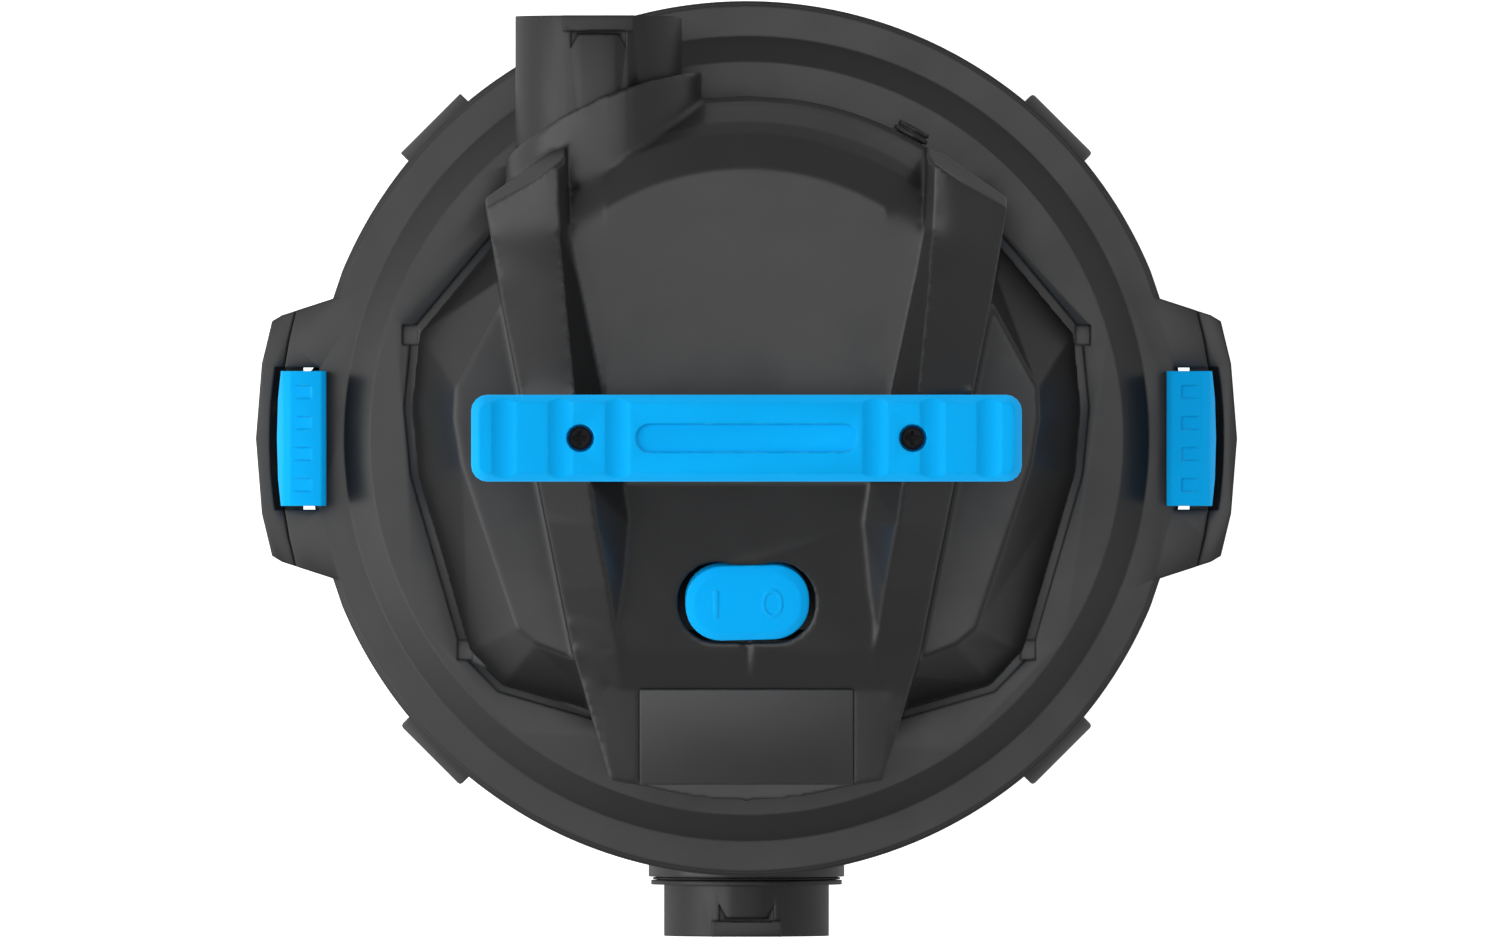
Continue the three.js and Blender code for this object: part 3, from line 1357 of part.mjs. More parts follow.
// A wheel of curved blades: a hub and a disc above blades that meet both.
function bladedWheel({ radius, hub, low, disc, height, blades, sweep, sides }) {
  const under = low + height - disc;
  const body = lathe([
    [SHAFT_RADIUS + GAP, low],
    [hub, low],
    [hub, under],
    [radius, under],
    [radius, low + height],
    [SHAFT_RADIUS + GAP, low + height],
  ], sides);
  const steps = sweep === 0 ? 1 : 3;
  const fins = Array.from({ length: blades }, (_, i) => {
    const rib = Array.from({ length: steps + 1 }, (__, k) => {
      const along = k / steps;
      const angle = radians((360 / blades) * i + sweep * along);
      const reach = hub - 1 + (radius - hub) * along;
      return [reach * Math.cos(angle), reach * Math.sin(angle)];
    });
    const back = rib.map(([x, y]) => {
      const length = Math.hypot(x, y);
      return [x - (y / length) * 1.6, y + (x / length) * 1.6];
    });
    return prism([...rib, ...back.reverse()], low, under + 0.5);
  });
  return join(body, ...fins);
}

place('rotor_core', rotorCore(), STEEL);
place('commutator', commutator(), COPPER);
place('motor_shaft', rod('z', SHAFT_RADIUS, CHAMBER_FLOOR + 5, SHAFT_TOP, 0, 0, TINY + 2), STEEL);
place('impeller', bladedWheel({
  radius: IMPELLER_RADIUS,
  hub: 12,
  low: CHAMBER_FLOOR + 8,
  disc: 2,
  height: 20,
  blades: 8,
  sweep: -50,
  sides: MEDIUM,
}), STEEL);
place('cooling_fan', bladedWheel({
  radius: 26,
  hub: 9,
  low: BRACKET_TOP + BEARING_HEIGHT + 2,
  disc: 1.6,
  height: 6,
  blades: 6,
  sweep: 0,
  sides: SMALL,
}), BLACK_PLASTIC);

// ---------------------------------------------------------------------------
// Float, filter and knob
// ---------------------------------------------------------------------------

const CAGE_TOP = CHAMBER_FLOOR - GAP;
const CAGE_HEIGHT = 150;
const CAGE_FLOOR = CAGE_TOP - CAGE_HEIGHT;
const FILTER_TOP = CAGE_TOP - 6;
const FILTER_LOW = FILTER_TOP - FILTER_HEIGHT;
const STUD_RADIUS = 5;
const FLOAT_LOW = CAGE_TOP - 70;
const FLOAT_HEIGHT = 40;

// Open cage under the fan eye: it guides the float and holds the filter.
function filterCage() {
  const ring = lathe([
    [EYE_RADIUS + 2, CAGE_TOP - 4],
    [FILTER_RADIUS - 6, CAGE_TOP - 4],
    [FILTER_RADIUS - 6, CAGE_TOP],
    [EYE_RADIUS + 2, CAGE_TOP],
  ], 24);
  const wall = lathe([
    [CAGE_RADIUS - WALL, CAGE_FLOOR + 4],
    [CAGE_RADIUS - WALL, CAGE_TOP - 2],
    [CAGE_RADIUS, CAGE_TOP - 2],
    [CAGE_RADIUS, CAGE_FLOOR],
    [0, CAGE_FLOOR],
    [0, CAGE_FLOOR + 4],
  ].reverse(), 24);
  const windows = [0, 60, 120].map((degrees) => {
    const geometry = new THREE.BoxGeometry(2 * CAGE_RADIUS + 10, 26, CAGE_HEIGHT - 34);
    geometry.rotateZ(radians(degrees)).translate(0, 0, CAGE_TOP - 12 - (CAGE_HEIGHT - 34) / 2);
    return toSolid(geometry);
  });
  const stud = rod('z', STUD_RADIUS, CAGE_FLOOR - 24, CAGE_FLOOR + 1, 0, 0, TINY);
  const shelf = lathe([
    [FLOAT_RADIUS - 4, FLOAT_LOW - GAP - 2],
    [CAGE_RADIUS - 1, FLOAT_LOW - GAP - 2],
    [CAGE_RADIUS - 1, FLOAT_LOW - GAP],
    [FLOAT_RADIUS - 4, FLOAT_LOW - GAP],
  ], 24);
  return join(cut(wall, ...windows), ring, stud, shelf);
}

function floatCup() {
  return lathe([
    [0, FLOAT_LOW],
    [FLOAT_RADIUS - 4, FLOAT_LOW],
    [FLOAT_RADIUS, FLOAT_LOW + 4],
    [FLOAT_RADIUS, FLOAT_LOW + FLOAT_HEIGHT - 8],
    [FLOAT_RADIUS - 10, FLOAT_LOW + FLOAT_HEIGHT],
    [0, FLOAT_LOW + FLOAT_HEIGHT],
  ], 24);
}

function cartridgeFilter() {
  return lathe([
    [FILTER_BORE, FILTER_LOW],
    [FILTER_RADIUS, FILTER_LOW],
    [FILTER_RADIUS, FILTER_TOP],
    [FILTER_BORE, FILTER_TOP],
  ], MEDIUM);
}

function filterCap() {
  const top = FILTER_LOW - GAP;
  return lathe([
    [STUD_RADIUS + 1, CAGE_FLOOR - 5],
    [FILTER_RADIUS + 1, CAGE_FLOOR - 5],
    [FILTER_RADIUS + 1, top],
    [FILTER_BORE + 2, top],
    [FILTER_BORE - 1, CAGE_FLOOR - 1],
    [STUD_RADIUS + 1, CAGE_FLOOR - 1],
  ], 24);
}

function filterKnob() {
  const top = CAGE_FLOOR - 5.3;
  const low = top - 14;
  return cut(
    join(
      rod('z', 14, low, top),
      box(-30, 30, -3.5, 3.5, low - 4, top - 3),
    ),
    rod('z', STUD_RADIUS + GAP, low - 5, top + 1, 0, 0, TINY),
  );
}

place('filter_cage', filterCage(), BLACK_PLASTIC);
place('float', floatCup(), GREY_PLASTIC);
place('cartridge_filter', cartridgeFilter(), PAPER);
place('filter_cap', filterCap(), BLACK_PLASTIC);
place('filter_knob', filterKnob(), GREY_PLASTIC);

export default group;
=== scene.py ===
"""Shop vacuum: finishes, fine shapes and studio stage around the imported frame."""

import json
import math

import bmesh
import bpy
from bpy.props import FloatProperty, FloatVectorProperty, IntProperty, PointerProperty
from mathutils import Matrix, Vector


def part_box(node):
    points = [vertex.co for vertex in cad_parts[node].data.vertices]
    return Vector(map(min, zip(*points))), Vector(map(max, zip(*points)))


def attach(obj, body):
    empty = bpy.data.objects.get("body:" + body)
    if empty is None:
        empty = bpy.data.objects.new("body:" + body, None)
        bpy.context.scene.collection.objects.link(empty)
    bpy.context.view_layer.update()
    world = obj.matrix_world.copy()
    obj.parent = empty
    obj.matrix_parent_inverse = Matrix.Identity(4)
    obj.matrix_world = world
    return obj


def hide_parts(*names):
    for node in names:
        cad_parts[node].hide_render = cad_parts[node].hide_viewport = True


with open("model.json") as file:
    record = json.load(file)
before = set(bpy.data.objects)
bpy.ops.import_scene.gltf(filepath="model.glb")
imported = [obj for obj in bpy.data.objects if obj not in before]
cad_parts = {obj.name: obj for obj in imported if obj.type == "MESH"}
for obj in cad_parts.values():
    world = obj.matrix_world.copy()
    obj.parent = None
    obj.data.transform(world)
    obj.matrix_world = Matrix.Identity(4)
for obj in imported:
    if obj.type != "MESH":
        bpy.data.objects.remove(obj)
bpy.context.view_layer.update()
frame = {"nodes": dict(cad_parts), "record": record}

bl_info = {
    "name": "Shop Vacuum",
    "version": (1, 0, 0),
    "blender": (4, 5, 0),
    "location": "3D View > Sidebar > Vacuum",
    "description": "Models the fine shapes, finishes and stage of a shop vacuum",
    "category": "Object",
}

MM = 0.001
MARK_HEIGHT = 0.25 * MM
MARK_LEFT = -12.6 * MM
MARK_RIGHT = 9.8 * MM
CIRCLE_SQUEEZE = 0.72
RIB_INNER = 56 * MM
RIB_OUTER = 110 * MM
RIB_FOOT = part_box("lid")[1].z + 45 * MM
RIB_FACES_UP = 0.8
RIB_PASSES = 200
COVER_PASSES = 8
COVER_KEEP = 0.22
FILTER_RING = 4 * MM
FILTER_INSET = 1.5 * MM
PAPER_THICKNESS = 0.6 * MM
TANK_AXIS = (0.0, (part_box("lid")[0].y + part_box("lid")[1].y) / 2)
BODY = {
    node: body
    for body, members in frame["record"]["behaviour"]["bodies"].items()
    for node in members
}
BLUE_SHEEN = (0.02, 0.45, 0.95)
SLOT = {part["node"]: part["material_slot"] for part in frame["record"]["subparts"]}


# ---------------------------------------------------------------------------
# Settings a user would change
# ---------------------------------------------------------------------------

def colour(name, description, default):
    return FloatVectorProperty(
        name=name, description=description, default=default, subtype="COLOR", min=0, max=1
    )


def length(name, description, default):
    return FloatProperty(
        name=name, description=description, default=default, unit="LENGTH", precision=5
    )


class VacuumFinish(bpy.types.PropertyGroup):
    """Colours of the vacuum's materials."""

    black: colour("Black", "Moulded covers, lid and ports", (0.014, 0.014, 0.0145))
    drum: colour("Drum", "Blow-moulded drum", (0.014, 0.014, 0.0145))
    dull: colour("Dull black", "Ports, feet and gland", (0.011, 0.011, 0.0115))
    plate: colour("Plate", "Plain plate in front of the switch", (0.024, 0.024, 0.0245))
    blue: colour("Blue", "Handle, latches and switch", (0.004, 0.42, 0.93))
    grey: colour("Grey", "Inner housings", (0.20, 0.205, 0.21))
    rubber: colour("Rubber", "Seals and tyres", (0.016, 0.016, 0.016))
    paper: colour("Paper", "Pleated filter", (0.72, 0.69, 0.60))


class VacuumShape(bpy.types.PropertyGroup):
    """Sizes of the fine shapes."""

    edge: length("Edge", "Rounding of the moulded edges", 0.0008)
    voxel: length("Voxel", "Grid used to round the motor cover", 0.0009)
    arc_step: FloatProperty(
        name="Arc step", description="Largest turn between two points of a round edge",
        default=math.radians(2.0), subtype="ANGLE",
    )
    mark_width: length("Mark width", "Stroke of the marks on the switch", 0.0016)
    mark_length: length("Mark length", "Height of the marks on the switch", 0.0115)
    pleats: IntProperty(name="Pleats", description="Folds round the filter", default=84)


class VacuumStage(bpy.types.PropertyGroup):
    """Camera and lights."""

    lens: FloatProperty(name="Lens", description="Focal length in millimetres", default=800)
    view_width: length("View width", "Width of the picture at the lid", 0.5972)
    left: FloatProperty(name="Left", description="Strength of the left light", default=1.38)
    top: FloatProperty(name="Top", description="Strength of the top light", default=0.8)
    ambient: FloatProperty(name="Ambient", description="Strength of the room", default=0.32)
    left_wall: FloatProperty(name="Left wall", description="Light of the left wall", default=0.95)
    right_wall: FloatProperty(name="Right wall", description="Light of the right wall", default=0.6)


# ---------------------------------------------------------------------------
# Modelling helpers
# ---------------------------------------------------------------------------

def only(piece):
    """Makes a piece the only one selected, and active."""
    bpy.ops.object.select_all(action="DESELECT")
    piece.hide_viewport = False
    piece.select_set(True)
    bpy.context.view_layer.objects.active = piece


def merged_copy(name, *nodes):
    """A new piece with the shape of one or more nodes, as one merged mesh with clean flat faces."""
    bpy.ops.object.select_all(action="DESELECT")
    copies = []
    for node in nodes:
        copy = bpy.data.objects.new(name, frame["nodes"][node].data.copy())
        bpy.context.scene.collection.objects.link(copy)
        copy.select_set(True)
        copies.append(copy)
    bpy.context.view_layer.objects.active = copies[0]
    if len(copies) > 1:
        bpy.ops.object.join()
    piece = bpy.context.view_layer.objects.active
    piece.name = piece.data.name = name
    piece.data.materials.clear()
    bpy.ops.object.mode_set(mode="EDIT")
    bpy.ops.mesh.select_all(action="SELECT")
    bpy.ops.mesh.remove_doubles(threshold=1e-6)
    bpy.ops.mesh.dissolve_limited(angle_limit=math.radians(0.4), delimit={"NORMAL"})
    bpy.ops.object.mode_set(mode="OBJECT")
    return piece


def polar(point, axis, centre):
    """Radius, angle and height of a point about an axis."""
    u, v, w = {"x": (1, 2, 0), "y": (0, 2, 1), "z": (0, 1, 2)}[axis]
    across, along = point[u] - centre[0], point[v] - centre[1]
    return math.hypot(across, along), math.atan2(along, across), point[w]


def push_out(vertex, radius, axis, centre):
    """Moves a vertex straight out from the axis to a radius."""
    u, v = {"x": (1, 2), "y": (0, 2), "z": (0, 1)}[axis]
    now = math.hypot(vertex.co[u] - centre[0], vertex.co[v] - centre[1])
    vertex.co[u] = centre[0] + (vertex.co[u] - centre[0]) * radius / now
    vertex.co[v] = centre[1] + (vertex.co[v] - centre[1]) * radius / now


def round_arcs(piece, axis="z", centre=TANK_AXIS, smallest=0.002, widest=40):
    """Turns the straight sides of round edges about an axis into fine arcs."""
    same = 3e-5
    step = bpy.context.scene.vacuum_shape.arc_step
    only(piece)
    bpy.ops.object.mode_set(mode="EDIT")
    bpy.ops.mesh.select_mode(type="EDGE")
    bpy.ops.mesh.select_all(action="DESELECT")
    mesh = bmesh.from_edit_mesh(piece.data)
    chords = {}
    widest_turn = 0.0
    for edge in mesh.edges:
        (r0, a0, h0), (r1, a1, h1) = (polar(v.co, axis, centre) for v in edge.verts)
        turn = abs((a1 - a0 + math.pi) % (2 * math.pi) - math.pi)
        if abs(r0 - r1) > same or abs(h0 - h1) > same or r0 < smallest:
            continue
        if step < turn < math.radians(widest):
            edge.select = True
            widest_turn = max(widest_turn, turn)
            middle = a0 + ((a1 - a0 + math.pi) % (2 * math.pi) - math.pi) / 2
            chords.setdefault(round(h0, 4), []).append((r0, middle, turn / 2))
    bmesh.update_edit_mesh(piece.data)
    if chords:
        cuts = math.ceil(widest_turn / step) - 1
        before = len(mesh.verts)
        bpy.ops.mesh.subdivide(number_cuts=cuts, quadcorner="INNERVERT")
        mesh = bmesh.from_edit_mesh(piece.data)
        mesh.verts.ensure_lookup_table()
        for vertex in mesh.verts[before:]:
            radius, angle, height = polar(vertex.co, axis, centre)
            target = arc_radius(radius, angle, chords, height)
            if target:
                push_out(vertex, target, axis, centre)
        bmesh.update_edit_mesh(piece.data)
    bpy.ops.object.mode_set(mode="OBJECT")


def arc_radius(radius, angle, chords, height):
    """The radius of the arc whose chord holds a point, or None."""
    for key in (round(height, 4), round(height - 1e-4, 4), round(height + 1e-4, 4)):
        for full, middle, half in chords.get(key, ()):
            off = (angle - middle + math.pi) % (2 * math.pi) - math.pi
            if abs(off) > half + 1e-4:
                continue
            if abs(radius - full * math.cos(half) / math.cos(off)) < 3e-5:
                return full
    return None


def apply_all(piece):
    """Applies a piece's modifiers in their order."""
    only(piece)
    for modifier in list(piece.modifiers):
        bpy.ops.object.modifier_apply(modifier=modifier.name)


def soften(piece, width, segments=2, angle=28):
    """Rounds every sharp edge of a piece by a bevel."""
    bevel = piece.modifiers.new("edges", "BEVEL")
    bevel.width = width
    bevel.segments = segments
    bevel.limit_method = "ANGLE"
    bevel.angle_limit = math.radians(angle)
    bevel.miter_outer = "MITER_ARC"
    bevel.use_clamp_overlap = True
    apply_all(piece)


def calm_slopes(piece, wanted, passes):
    """Evens out the slopes among the vertices that are wanted, and keeps their borders."""
    only(piece)
    bpy.ops.object.mode_set(mode="EDIT")
    bpy.ops.mesh.select_mode(type="VERT")
    bpy.ops.mesh.select_all(action="DESELECT")
    mesh = bmesh.from_edit_mesh(piece.data)
    for vertex in mesh.verts:
        if wanted(vertex):
            vertex.select = True
    mesh.select_flush(True)
    bmesh.update_edit_mesh(piece.data)
    bpy.ops.mesh.vertices_smooth(factor=0.5, repeat=passes)
    bpy.ops.object.mode_set(mode="OBJECT")


def mould(piece, voxel, passes, keep, calm=None):
    """Rebuilds a piece on a fine grid, relaxes its edges as a mould does and thins the flats."""
    grid = piece.modifiers.new("grid", "REMESH")
    grid.mode = "VOXEL"
    grid.voxel_size = voxel
    relax = piece.modifiers.new("relax", "SMOOTH")
    relax.factor = 0.5
    relax.iterations = passes
    if calm:
        apply_all(piece)
        calm_slopes(piece, calm, RIB_PASSES)
    thin = piece.modifiers.new("thin", "DECIMATE")
    thin.ratio = keep
    apply_all(piece)


def shade(piece, degrees=35):
    """Shades a piece smooth, except across edges sharper than an angle."""
    only(piece)
    bpy.ops.object.shade_smooth_by_angle(angle=math.radians(degrees))
    return piece


def stand_for(piece, material, *nodes):
    """The piece takes the place and body of its nodes, and wears the material it is given."""
    piece.data.materials.clear()
    piece.data.materials.append(material)
    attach(piece, BODY[nodes[0]])
    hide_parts(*nodes)
    return piece


def middle(node):
    """The middle of a node's box."""
    low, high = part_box(node)
    return (low + high) / 2


def refine(finish, edge, *nodes, axis=None, smallest=0.002):
    """Replaces nodes by copies with round arcs about an axis and softened edges."""
    for node in nodes:
        fine = merged_copy(f"{node}_fine", node)
        if axis:
            centre = middle(node)
            around = {"x": centre.yz, "y": centre.xz, "z": centre.xy}[axis]
            round_arcs(fine, axis, around, smallest)
        soften(fine, edge)
        stand_for(shade(fine), finishes()[finish or SLOT[node]], node)


# ---------------------------------------------------------------------------
# Materials
# ---------------------------------------------------------------------------

class Recipe:
    """A material being mixed: its node tree, its shader and its object coordinates."""

    def __init__(self, name):
        self.material = bpy.data.materials.new(name)
        self.material.use_nodes = True
        self.tree = self.material.node_tree
        self.shader = self.tree.nodes["Principled BSDF"]
        self.place = self.node("ShaderNodeTexCoord").outputs["Object"]

    def node(self, kind, **inputs):
        made = self.tree.nodes.new(kind)
        for key, value in inputs.items():
            self.feed(made.inputs[key.replace("_", " ")], value)
        return made

    def feed(self, socket, value):
        if isinstance(value, bpy.types.NodeSocket):
            self.tree.links.new(value, socket)
        else:
            socket.default_value = value

    def noise(self, scale, detail=3.0):
        made = self.node("ShaderNodeTexNoise", Vector=self.place, Scale=scale, Detail=detail)
        return made.outputs["Fac"]

    def spread(self, source, low, high, out_low=0.0, out_high=1.0):
        made = self.node("ShaderNodeMapRange", Value=source)
        for key, value in zip(("From Min", "From Max", "To Min", "To Max"),
                              (low, high, out_low, out_high)):
            made.inputs[key].default_value = value
        return made.outputs["Result"]

    def mix(self, share, first, second):
        made = self.tree.nodes.new("ShaderNodeMix")
        made.data_type = "RGBA"
        self.feed(made.inputs["Factor"], share)
        self.feed(made.inputs["A"], first)
        self.feed(made.inputs["B"], second)
        return next(s for s in made.outputs if s.type == "RGBA")

    def rub(self, radius):
        """How strongly a spot lies on a worn outer edge, 0 to 1."""
        soft = self.node("ShaderNodeBevel", Radius=radius)
        soft.samples = 4
        here = self.node("ShaderNodeNewGeometry").outputs["Normal"]
        compare = self.tree.nodes.new("ShaderNodeVectorMath")
        compare.operation = "DOT_PRODUCT"
        self.feed(compare.inputs[0], soft.outputs["Normal"])
        self.feed(compare.inputs[1], here)
        return self.spread(compare.outputs["Value"], 0.995, 0.80), soft.outputs["Normal"]

    def finish(self, base, roughness, bump, depth, strength=0.4):
        self.feed(self.shader.inputs["Base Color"], base)
        self.feed(self.shader.inputs["Roughness"], roughness)
        raised = self.node("ShaderNodeBump", Height=bump, Strength=strength, Distance=depth)
        self.feed(self.shader.inputs["Normal"], raised.outputs["Normal"])
        return raised


def rgba(colour_value, gain=1.0):
    return (*[min(1.0, c * gain) for c in colour_value], 1.0)


def moulded_plastic(name, base, roughness, specular=0.5, grain=1500, tint=None):
    """Satin moulded plastic: spark-eroded grain, faint flow marks, edges rubbed brighter."""
    recipe = Recipe(name)
    flow = recipe.spread(recipe.noise(9, 4.0), 0.35, 0.65)
    tone = recipe.mix(flow, rgba(base, 0.92), rgba(base, 1.08))
    worn, soft_normal = recipe.rub(0.0012)
    scuffs = recipe.spread(recipe.noise(170, 5.0), 0.48, 0.72)
    both = recipe.node("ShaderNodeMath")
    both.operation = "MULTIPLY"
    recipe.feed(both.inputs[0], worn)
    recipe.feed(both.inputs[1], scuffs)
    tone = recipe.mix(both.outputs[0], tone, rgba([c + 0.03 for c in base], 1.35))
    smears = recipe.spread(recipe.noise(38, 5.0), 0.3, 0.7, roughness - 0.05, roughness + 0.05)
    raised = recipe.finish(tone, smears, recipe.noise(grain, 2.0), 0.000012, 0.35)
    recipe.feed(raised.inputs["Normal"], soft_normal)
    recipe.shader.inputs["Specular IOR Level"].default_value = specular
    if tint:
        recipe.shader.inputs["Specular Tint"].default_value = rgba(tint)
    return recipe.material


def soft_rubber(name, base):
    """Matt rubber with a pale bloom."""
    recipe = Recipe(name)
    bloom = recipe.spread(recipe.noise(60, 5.0), 0.45, 0.8)
    tone = recipe.mix(bloom, rgba(base), rgba(base, 1.9))
    rough = recipe.spread(recipe.noise(25), 0.3, 0.7, 0.68, 0.85)
    recipe.finish(tone, rough, recipe.noise(900, 3.0), 0.00006)
    return recipe.material


def metal(name, base, roughness, stretch=(1, 1, 1)):
    """Machined or drawn metal with fine lines along its stretch."""
    recipe = Recipe(name)
    turned = recipe.node("ShaderNodeMapping", Vector=recipe.place)
    turned.inputs["Scale"].default_value = stretch
    recipe.place = turned.outputs["Vector"]
    lines = recipe.noise(600, 2.0)
    tone = recipe.mix(recipe.spread(recipe.noise(20), 0.3, 0.7), rgba(base, 0.85), rgba(base))
    rough = recipe.spread(lines, 0.3, 0.7, roughness - 0.08, roughness + 0.1)
    recipe.finish(tone, rough, lines, 0.00002, 0.3)
    recipe.shader.inputs["Metallic"].default_value = 1.0
    return recipe.material


def filter_paper(name, base):
    """Fibrous paper with patches of dust."""
    recipe = Recipe(name)
    fibres = recipe.noise(450, 8.0)
    dust = recipe.spread(recipe.noise(14, 5.0), 0.45, 0.75)
    tone = recipe.mix(dust, rgba(base), rgba(base, 0.72))
    recipe.finish(tone, recipe.spread(fibres, 0.2, 0.8, 0.85, 0.98), fibres, 0.0001)
    return recipe.material


# ---------------------------------------------------------------------------
# Pieces
# ---------------------------------------------------------------------------

FINISH = {}


def finishes():
    """The materials by the name of the slot they fill, mixed once and shared."""
    if not FINISH:
        look = bpy.context.scene.vacuum_finish
        FINISH.update(
            black_plastic=moulded_plastic("satin_black", look.black, 0.34),
            dull_plastic=moulded_plastic("dull_black", look.dull, 0.4, 0.42),
            plate_plastic=moulded_plastic("plate_black", look.plate, 0.4, 0.5),
            black_screw=metal("blackened_steel", (0.012, 0.012, 0.013), 0.4),
            drum_plastic=moulded_plastic("drum_black", look.drum, 0.32),
            blue_plastic=moulded_plastic("bright_blue", look.blue, 0.4, 0.25, tint=BLUE_SHEEN),
            grey_plastic=moulded_plastic("housing_grey", look.grey, 0.5),
            wheel_rubber=soft_rubber("tyre", look.rubber),
            seal_rubber=soft_rubber("seal", look.rubber),
            steel=metal("plain_steel", (0.56, 0.57, 0.58), 0.32),
            copper=metal("copper_wire", (0.72, 0.35, 0.16), 0.38, (1, 1, 6)),
            carbon=moulded_plastic("pressed_carbon", (0.03, 0.03, 0.032), 0.7),
            filter_paper=filter_paper("pleated_paper", look.paper),
        )
    return FINISH


class VACUUM_OT_drum(bpy.types.Operator):
    """Round the drum and its ears"""

    bl_idname = "vacuum.drum"
    bl_label = "Drum"

    def execute(self, context):
        drum = merged_copy("drum", "tank_drum")
        round_arcs(drum)
        soften(drum, context.scene.vacuum_shape.edge)
        stand_for(shade(drum), finishes()["drum_plastic"], "tank_drum")
        return {"FINISHED"}


class VACUUM_OT_lid(bpy.types.Operator):
    """Round the lid and its stepped rim"""

    bl_idname = "vacuum.lid"
    bl_label = "Lid"

    def execute(self, context):
        lid = merged_copy("lid_shell", "lid")
        round_arcs(lid)
        soften(lid, context.scene.vacuum_shape.edge)
        stand_for(shade(lid), finishes()["black_plastic"], "lid")
        return {"FINISHED"}


def on_rib_top(vertex):
    """Whether a vertex of the cover lies on the top slope of a rib."""
    inside = RIB_INNER < abs(vertex.co.x) < RIB_OUTER
    return inside and vertex.co.z > RIB_FOOT and vertex.normal.z > RIB_FACES_UP


class VACUUM_OT_cover(bpy.types.Operator):
    """Mould the motor cover with its hump, collar and pocket"""

    bl_idname = "vacuum.cover"
    bl_label = "Motor cover"

    def execute(self, context):
        cover = merged_copy("motor_hood", "motor_cover")
        round_arcs(cover)
        mould(cover, context.scene.vacuum_shape.voxel, COVER_PASSES, COVER_KEEP, on_rib_top)
        stand_for(shade(cover, 60), finishes()["black_plastic"], "motor_cover")
        return {"FINISHED"}


class VACUUM_OT_handle(bpy.types.Operator):
    """Mould the bar handle with its finger grooves"""

    bl_idname = "vacuum.handle"
    bl_label = "Handle"

    def execute(self, context):
        bar = merged_copy("bar_handle", "handle")
        soften(bar, 0.0007, 3)
        stand_for(shade(bar), finishes()["blue_plastic"], "handle")
        return {"FINISHED"}


class VACUUM_OT_latches(bpy.types.Operator):
    """Mould the two ribbed latches"""

    bl_idname = "vacuum.latches"
    bl_label = "Latches"

    def execute(self, context):
        for side in ("left", "right"):
            clip = merged_copy(f"latch_clip_{side}", f"latch_{side}")
            soften(clip, 0.00025, 2, 20)
            stand_for(shade(clip, 20), finishes()["blue_plastic"], f"latch_{side}")
        return {"FINISHED"}


def set_down(mark, seat):
    """Moves a mark from the origin to its seat, into its mesh."""
    only(mark)
    mark.matrix_world = seat
    bpy.ops.object.transform_apply(location=True, rotation=True, scale=True)
    return mark


def switch_line(seat, width, tall):
    """The raised line at the left end of the rocker."""
    bpy.ops.object.select_all(action="DESELECT")
    bpy.ops.mesh.primitive_cube_add(size=1, scale=(width, tall, MARK_HEIGHT * 2))
    line = bpy.context.active_object
    bpy.ops.object.transform_apply(scale=True)
    soften(line, 0.00012, 2)
    return set_down(line, seat @ Matrix.Translation((MARK_LEFT, 0, 0)))


def switch_circle(seat, width, tall):
    """The raised ring at the right end of the rocker."""
    bpy.ops.object.select_all(action="DESELECT")
    bpy.ops.mesh.primitive_circle_add(vertices=64, radius=tall / 2)
    circle = bpy.context.active_object
    bpy.ops.object.mode_set(mode="EDIT")
    bpy.ops.mesh.select_all(action="SELECT")
    bpy.ops.transform.resize(value=(CIRCLE_SQUEEZE, 1, 1))
    bpy.ops.mesh.extrude_edges_move(TRANSFORM_OT_translate={"value": (0, 0, MARK_HEIGHT * 2)})
    bpy.ops.mesh.select_all(action="SELECT")
    bpy.ops.transform.translate(value=(0, 0, -MARK_HEIGHT))
    bpy.ops.mesh.normals_make_consistent(inside=False)
    bpy.ops.object.mode_set(mode="OBJECT")
    wall = circle.modifiers.new("wall", "SOLIDIFY")
    wall.thickness = width * 0.7
    apply_all(circle)
    soften(circle, 0.0001, 2)
    return set_down(circle, seat @ Matrix.Translation((MARK_RIGHT, 0, 0)))


def flat_ring(name, place, bore, outer, thick):
    """A flat ring with softened edges."""
    bpy.ops.object.select_all(action="DESELECT")
    bpy.ops.mesh.primitive_circle_add(vertices=144, radius=bore, location=place)
    ring = bpy.context.active_object
    ring.name = ring.data.name = name
    bpy.ops.object.mode_set(mode="EDIT")
    bpy.ops.mesh.select_all(action="SELECT")
    bpy.ops.mesh.extrude_edges_move(TRANSFORM_OT_translate={"value": (0, 0, 0)})
    bpy.ops.transform.resize(value=(outer / bore, outer / bore, 1))
    bpy.ops.mesh.select_all(action="SELECT")
    bpy.ops.mesh.extrude_region_move(TRANSFORM_OT_translate={"value": (0, 0, thick)})
    bpy.ops.mesh.select_all(action="SELECT")
    bpy.ops.mesh.normals_make_consistent(inside=False)
    bpy.ops.object.mode_set(mode="OBJECT")
    bpy.ops.object.transform_apply(location=True)
    soften(ring, 0.0006, 2)
    return shade(ring)


class VACUUM_OT_ports(bpy.types.Operator):
    """Round the two hose ports behind their bridged slots"""

    bl_idname = "vacuum.ports"
    bl_label = "Hose ports"

    def execute(self, context):
        for name, node in (("outlet_spout", "blower_port"), ("inlet_spout", "inlet_port")):
            low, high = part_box(node)
            radius = (high.x - low.x) / 2
            spout = merged_copy(name, node)
            round_arcs(spout, "y", (low.x + radius, low.z + radius))
            soften(spout, context.scene.vacuum_shape.edge)
            stand_for(shade(spout), finishes()["dull_plastic"], node)
        refine("dull_plastic", 0.0005, "inlet_deflector", "exhaust_duct", "cord_gland")
        return {"FINISHED"}


